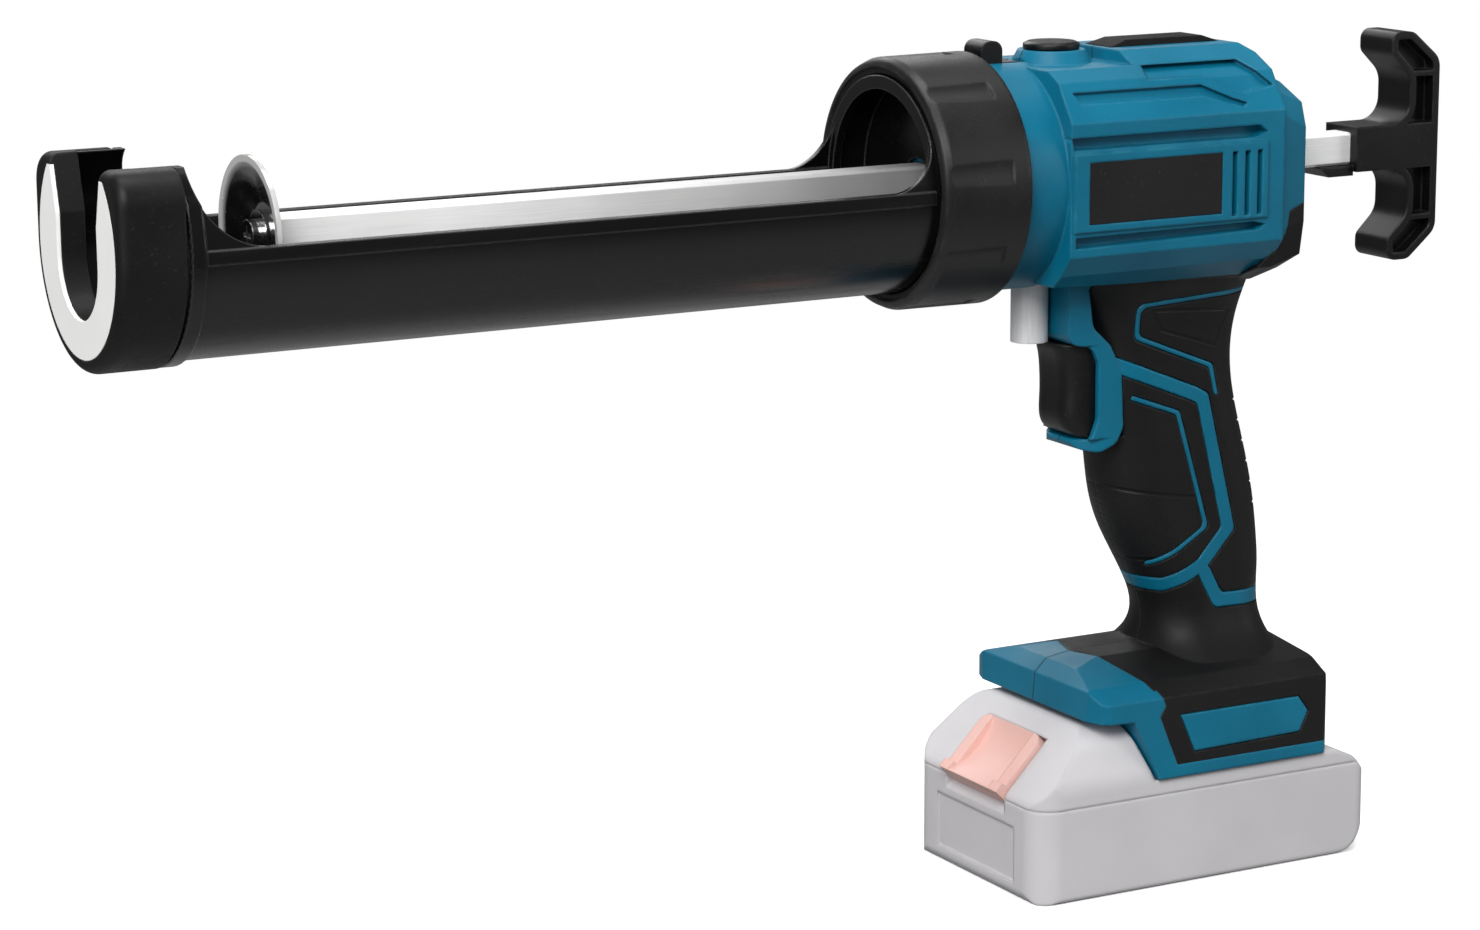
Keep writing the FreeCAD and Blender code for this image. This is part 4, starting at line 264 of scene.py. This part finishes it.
def grip_skin():
    """Overmoulded elastomer: a soft near-black skin with dusty high spots and two sunk panels that carry a
    diagonal hatch, each ringed by a groove darkened with painted shade."""
    edge_radius = 1.0
    hatch_pitch = 0.9
    hatch_turns = (45, -45)
    # A band texture at this scale repeats once in a unit
    wave_unit = 0.314
    hatch_depth = 0.25
    cloud_size = 30
    rub_size = 6
    rub_range = (0.4, 0.6)
    rub_strength = 0.2
    dust_size = 0.9
    dust_strength = 0.16
    groove_half = 0.3
    groove_blend = 0.7
    groove_shade = 0.8
    panel_start = -0.6
    panel_full = -1.0
    smear_size = 14
    gloss_range = (0.46, 0.62)
    relief = 0.3
    relief_strength = 0.9
    grit = 0.6
    grit_relief = 0.025
    material, tree, where = blank("grip_elastomer")
    soft, edges = rounded_edges(tree, edge_radius)
    hatch = []
    for turn in hatch_turns:
        turned = add(tree, "Mapping", Vector=where, Rotation=(0, math.radians(turn), 0))
        wave = add(tree, "TexWave", Vector=turned, Scale=wave_unit / (hatch_pitch * MM), Distortion=0,
                   wave_type="BANDS", bands_direction="X")
        hatch.append(wave.outputs["Fac"])
    weave = add(tree, "Math", *hatch, operation="MINIMUM")
    clouds = add(tree, "MapRange", grain(tree, where, cloud_size, detail=4), *MIDDLE)
    base = add(tree, "Mix", clouds, paint("#080809"), paint("#0c0c0d"), data_type="RGBA")
    patches = add(tree, "MapRange", grain(tree, where, rub_size, detail=4), *rub_range, 0, rub_strength)
    toned_edges = add(tree, "Math", edges, patches, operation="MULTIPLY")
    base = add(tree, "Mix", toned_edges, base, paint("#5a5a59"), data_type="RGBA")
    dust = add(tree, "MapRange", grain(tree, where, dust_size, detail=2), *SPECKS, 0, dust_strength)
    base = add(tree, "Mix", dust, base, paint("#4b4a49"), data_type="RGBA")
    height = 0.0
    for corners in PALM_PANELS:
        gap = panel_edge(tree, where, corners)
        away = add(tree, "Math", gap, operation="ABSOLUTE")
        groove = add(tree, "MapRange", away, groove_half * MM, groove_blend * MM, 1, 0)
        # Painted shade: the groove round each panel is also darkened in colour.
        shaded = add(tree, "Math", groove, groove_shade, operation="MULTIPLY")
        base = add(tree, "Mix", shaded, base, paint("#060606"), data_type="RGBA")
        inside = add(tree, "MapRange", gap, panel_start * MM, panel_full * MM)
        raised = add(tree, "Math", weave, inside, operation="MULTIPLY")
        raised = add(tree, "Math", raised, hatch_depth, operation="MULTIPLY")
        raised = add(tree, "Math", raised, groove, operation="SUBTRACT")
        height = add(tree, "Math", height, raised, operation="ADD")
    smears = grain(tree, where, smear_size, detail=5)
    roughness = add(tree, "MapRange", smears, *BROAD, *gloss_range)
    low = add(tree, "Bump", Strength=relief_strength, Distance=relief * MM, Height=height, Normal=soft)
    fine = grain(tree, where, grit, detail=2)
    bump = add(tree, "Bump", Strength=1, Distance=grit_relief * MM, Height=fine, Normal=low)
    shader = add(tree, "BsdfPrincipled", Base_Color=base, Roughness=roughness, Normal=bump,
                 Specular_IOR_Level=0.26)
    add(tree, "OutputMaterial", shader)
    return material


def lacquered_board():
    """Lacquered board with copper runs showing pale under the green."""
    run_spacing = 5
    run_range = (0.04, 0.07)
    run_height = 0.03
    stain_size = 9
    stain_range = (0.4, 0.7)
    stain_strength = 0.4
    gloss_size = 4
    gloss_range = (0.25, 0.4)
    material, tree, where = blank("board_lacquer")
    runs = add(tree, "TexVoronoi", Vector=where, Scale=1 / (run_spacing * MM), feature="DISTANCE_TO_EDGE")
    track = add(tree, "MapRange", runs, *run_range, 1, 0)
    base = add(tree, "Mix", track, paint("#12502c"), paint("#2f7d4a"), data_type="RGBA")
    stains = add(tree, "MapRange", grain(tree, where, stain_size, detail=4), *stain_range, 0, stain_strength)
    base = add(tree, "Mix", stains, base, paint("#0d3a20"), data_type="RGBA")
    bump = add(tree, "Bump", Strength=1, Distance=run_height * MM, Height=track)
    roughness = add(tree, "MapRange", grain(tree, where, gloss_size, detail=3), *BROAD, *gloss_range)
    shader = add(tree, "BsdfPrincipled", Base_Color=base, Roughness=roughness, Normal=bump)
    add(tree, "OutputMaterial", shader)
    return material


# Shell: moulded teal nylon with a sprayed mould grain; it gives the eye a soft satin blue-green.
TEAL = dict(light="#036b88", dark="#02607c", rough=0.42, grit=0.55, relief=0.02, edge=1.1, wear_dust_and_highlight="#4597ad",
            worn_and_highlit=0.3, shine=0.28, dusty=0.15)
shell_nylon = moulded("shell_nylon", **TEAL, over=shell_line)
# End cover: the same nylon in one piece, so without the line between halves.
cover_nylon = moulded("cover_nylon", **TEAL)
# Nose cap: moulded glass-filled nylon with a coarse grain; it gives a soft charcoal with no mirror.
nose_nylon = moulded("nose_nylon", light="#121213", dark="#0d0d0e", rough=0.55, grit=0.8, relief=0.03,
                     edge=0.9, shine=0.22)
# Nose face: moulded white ABS insert, clean and nearly without gloss.
face_abs = moulded("face_abs", light="#f7f7f5", dark="#f0f0ee", rough=0.45, grit=0.7, relief=0.006,
                   edge=0.4, wear_dust_and_highlight="#dcdad4")
# Collar: the nose's nylon made smoother by handling; it has a broad soft sheen on its round.
collar_nylon = moulded("collar_nylon", light="#161617", dark="#111112", rough=0.42, grit=0.7,
                       relief=0.022, edge=1.4, shine=0.4)
# T grip, trigger, catch and dial: moulded satin black ABS with soft glints along its edges.
trim_abs = moulded("trim_abs", light="#09090a", dark="#0c0c0d", rough=0.36, grit=0.5, relief=0.012,
                   edge=1.0, shine=0.32)
# Top pad: moulded black elastomer, soft and matte, so the light from above hardly shows on it.
pad_elastomer = moulded("pad_elastomer", light="#0a0a0b", dark="#0d0d0e", rough=0.68, grit=0.6,
                        relief=0.02, edge=0.8, shine=0.15)
# Bare nameplates, guides and housings inside: finely textured black ABS, flatter to the eye than the shell.
plate_abs = moulded("plate_abs", light="#161618", dark="#101012", rough=0.5, grit=0.45, relief=0.03,
                    edge=0.4, wear_dust_and_highlight="#6a6a69", worn_and_highlit=0.15)
# Battery case: moulded ABS faded to pale grey as in the photograph, with a fine grain.
battery_abs = moulded("battery_abs", light="#cecccf", dark="#c7c5c8", rough=0.45, grit=0.6, relief=0.014,
                      edge=1.6, wear_dust_and_highlight="#dddcdd", worn_and_highlit=0.3)
# Battery latch: the same ABS in pale salmon.
latch_abs = moulded("latch_abs", light="#e8bdb4", dark="#e3b5ab", rough=0.44, grit=0.6, relief=0.012,
                    edge=0.8, wear_dust_and_highlight="#efd3cb", worn_and_highlit=0.35)
# Cell wrap: shrunk blue film that shines over the cells.
cell_film = moulded("cell_film", light="#27627a", dark="#1f566c", rough=0.22, grit=1.2, relief=0.006,
                    edge=0.5)
# Rod: zinc-plated steel drawn through a die; fine lines run along it and spread its reflections up and down.
# Its colour is darkened towards the collar: painted shade for the cup it mirrors.
rod_zinc = plated("rod_zinc", light="#fafaf9", dark="#f0f0f0", rough=0.42, stretch=(60, 1, 1), edge=0.5,
                  relief=0.006, metallic=0.15, over=painted_rod_shade)
# Pusher's washer and screw: chromed steel, nearly a mirror with light turning marks.
CHROME = dict(light="#b9b9ba", dark="#a3a3a4", rough=0.16, stretch=(1, 3, 3), edge=0.4, relief=0.003)
washer_chrome = plated("washer_chrome", **CHROME)
# Pusher dish: the same chrome on a pressing, with a painted highlight on its rim: a pale, mostly non-metallic
# ring round a dark mirror.
dish_chrome = plated("dish_chrome", **CHROME, over=painted_dish_rim)
# Plunger: turned satin aluminium, pale and soft.
plunger_aluminium = plated("plunger_aluminium", light="#ececed", dark="#dddddf", rough=0.36,
                           stretch=(1, 1, 24), edge=0.5, relief=0.006, metallic=0.15)
# Gears, plates, pins and screws: plain machined steel, grey with an oily film.
gear_steel = plated("gear_steel", light="#9b9b9c", dark="#868688", rough=0.32, stretch=(1, 4, 1),
                    edge=0.25, relief=0.006)
# Motor and gear case: zinc-plated can, cooler and duller than the gears.
motor_zinc = plated("motor_zinc", light="#a7abaf", dark="#94989c", rough=0.38, stretch=(1, 18, 1),
                    edge=0.6, relief=0.006)
# Bushes and contacts: plain drawn brass, warm and soft.
contact_brass = plated("contact_brass", light="#c9a45a", dark="#b18c45", rough=0.28, stretch=(6, 1, 1),
                       edge=0.2, relief=0.005)
cradle_enamel = enamelled_sheet()
grip_elastomer = grip_skin()
board_lacquer = lacquered_board()

FINISHES = {
    "front_cap": nose_nylon, "front_face": face_abs, "cradle": cradle_enamel, "collar": collar_nylon,
    "pusher_plate": dish_chrome, "pusher_washer": washer_chrome, "pusher_screw": washer_chrome,
    "rack_rod": rod_zinc, "t_handle": trim_abs, "t_handle_pin": gear_steel,
    "housing_left": shell_nylon, "housing_right": shell_nylon, "rear_cover": cover_nylon,
    "grip_left": grip_elastomer, "grip_right": grip_elastomer,
    "top_pad": pad_elastomer, "speed_dial": trim_abs, "lock_catch": trim_abs, "nameplates": plate_abs,
    "trigger": trim_abs, "release_button": plunger_aluminium, "release_spring": gear_steel,
    "trigger_switch": plate_abs, "dial_potentiometer": plate_abs, "control_board": board_lacquer,
    "terminal_block": plate_abs, "motor": motor_zinc, "gearbox": motor_zinc, "drive_gear": gear_steel,
    "wheel_gear": gear_steel, "pinion": gear_steel, "pinion_shaft": gear_steel, "shaft_bushes": contact_brass,
    "gear_plate_left": gear_steel, "gear_plate_right": gear_steel, "plate_posts": gear_steel,
    "rod_guide_front": plate_abs, "rod_guide_rear": plate_abs, "housing_screws": gear_steel,
    "battery_case_lower": battery_abs, "battery_case_upper": battery_abs, "battery_latch": latch_abs,
    "battery_cells": cell_film, "battery_terminals": contact_brass, "battery_screws": gear_steel}
for name, thing in nodes.items():
    thing.data.materials.clear()
    thing.data.materials.append(FINISHES[name])


def studio_floor():
    """Pale painted floor that keeps the tool's soft shadow and fades into the white surroundings."""
    half = 3
    cloud_size = 300
    glow = 0.34
    fade_middle = (-0.08, 0, 0)
    fade_range = (0.3, 0.62)
    mesh = bpy.data.meshes.new("studio_floor")
    corners = [(-half, -half, 0), (half, -half, 0), (half, half, 0), (-half, half, 0)]
    mesh.from_pydata(corners, [], [list(range(len(corners)))])
    floor = bpy.data.objects.new("studio_floor", mesh)
    bpy.context.scene.collection.objects.link(floor)
    material, tree, where = blank("studio_floor")
    path = add(tree, "LightPath")
    seen = path.outputs["Is Camera Ray"]
    mirrored = path.outputs["Is Glossy Ray"]
    clouds = grain(tree, where, cloud_size, detail=3)
    tone = add(tree, "Mix", clouds, paint("#f4f4f4"), paint("#efefef"), data_type="RGBA")
    bounce = add(tree, "Mix", mirrored, paint("#5e5e5e"), paint("#a0a0a0"), data_type="RGBA")
    tone = add(tree, "Mix", seen, bounce, tone, data_type="RGBA")
    glowing = add(tree, "Math", seen, glow, operation="MULTIPLY")
    shader = add(tree, "BsdfPrincipled", Base_Color=tone, Roughness=0.9, Specular_IOR_Level=0,
                 Emission_Color=paint("#ffffff"), Emission_Strength=glowing)
    away = add(tree, "VectorMath", where, fade_middle, operation="DISTANCE")
    faded = add(tree, "MapRange", away, *fade_range)
    add(tree, "OutputMaterial", add(tree, "MixShader", faded, shader, add(tree, "BsdfTransparent")))
    mesh.materials.append(material)


def softbox(name, place, target, width, height, watts):
    """A large soft lamp that faces a target; sizes and places in metres."""
    lamp = bpy.data.lights.new(name, "AREA")
    lamp.shape = "RECTANGLE"
    lamp.size = width
    lamp.size_y = height
    lamp.energy = watts
    thing = bpy.data.objects.new(name, lamp)
    thing.location = place
    thing.rotation_euler = (Vector(target) - Vector(place)).to_track_quat("-Z", "Y").to_euler()
    bpy.context.scene.collection.objects.link(thing)


def studio_light():
    """White surroundings to the eye, dimmer in reflections, with a key, front, top, fill and back light."""
    diffuse_level = 0.22
    glossy_level = 0.16
    seen_level = 1.0
    world = bpy.data.worlds.new("studio")
    world.use_nodes = True
    tree = world.node_tree
    tree.nodes.clear()
    path = add(tree, "LightPath")
    level = add(tree, "Mix", path.outputs["Is Glossy Ray"], diffuse_level, glossy_level, data_type="FLOAT")
    level = add(tree, "Mix", path.outputs["Is Camera Ray"], level, seen_level, data_type="FLOAT")
    add(tree, "OutputWorld", add(tree, "Background", Color=paint("#ffffff"), Strength=level))
    bpy.context.scene.world = world
    softbox("key_light", place=(-1.2, -1.35, 1.5), target=(-0.05, 0, 0.15), width=1.1, height=0.9, watts=44)
    softbox("front_light", place=(-1.4, -0.6, 0.45), target=(-0.2, 0, 0.12), width=0.6, height=0.6, watts=4.5)
    softbox("top_light", place=(-0.1, 0.1, 1.9), target=(-0.1, 0, 0.1), width=1.6, height=0.9, watts=22)
    softbox("fill_light", place=(1.5, -1.2, 0.7), target=(0, 0, 0.15), width=0.9, height=0.9, watts=9)
    softbox("back_light", place=(0.2, 1.6, 1.1), target=(-0.1, 0, 0.2), width=1.6, height=0.6, watts=10)


def photo_camera():
    """The camera that the photograph was taken from: place, aim, roll and lens as fitted to its lines."""
    place = Vector((-0.7055, -1.0251, 0.3885))
    aim = Vector((-0.127783, 0.037255, 0.134997))
    roll = math.radians(-0.309)
    camera = bpy.data.cameras.new("photo_camera")
    camera.lens = 95.81
    camera.sensor_width = 36
    camera.sensor_fit = "HORIZONTAL"
    camera.clip_start = 0.01
    thing = bpy.data.objects.new("photo_camera", camera)
    turn = (aim - place).to_track_quat("-Z", "Y").to_matrix().to_4x4()
    thing.matrix_world = Matrix.Translation(place) @ turn @ Matrix.Rotation(roll, 4, "Z")
    bpy.context.scene.collection.objects.link(thing)
    bpy.context.scene.camera = thing


studio_floor()
studio_light()
photo_camera()
bpy.context.scene.view_settings.view_transform = "Standard"
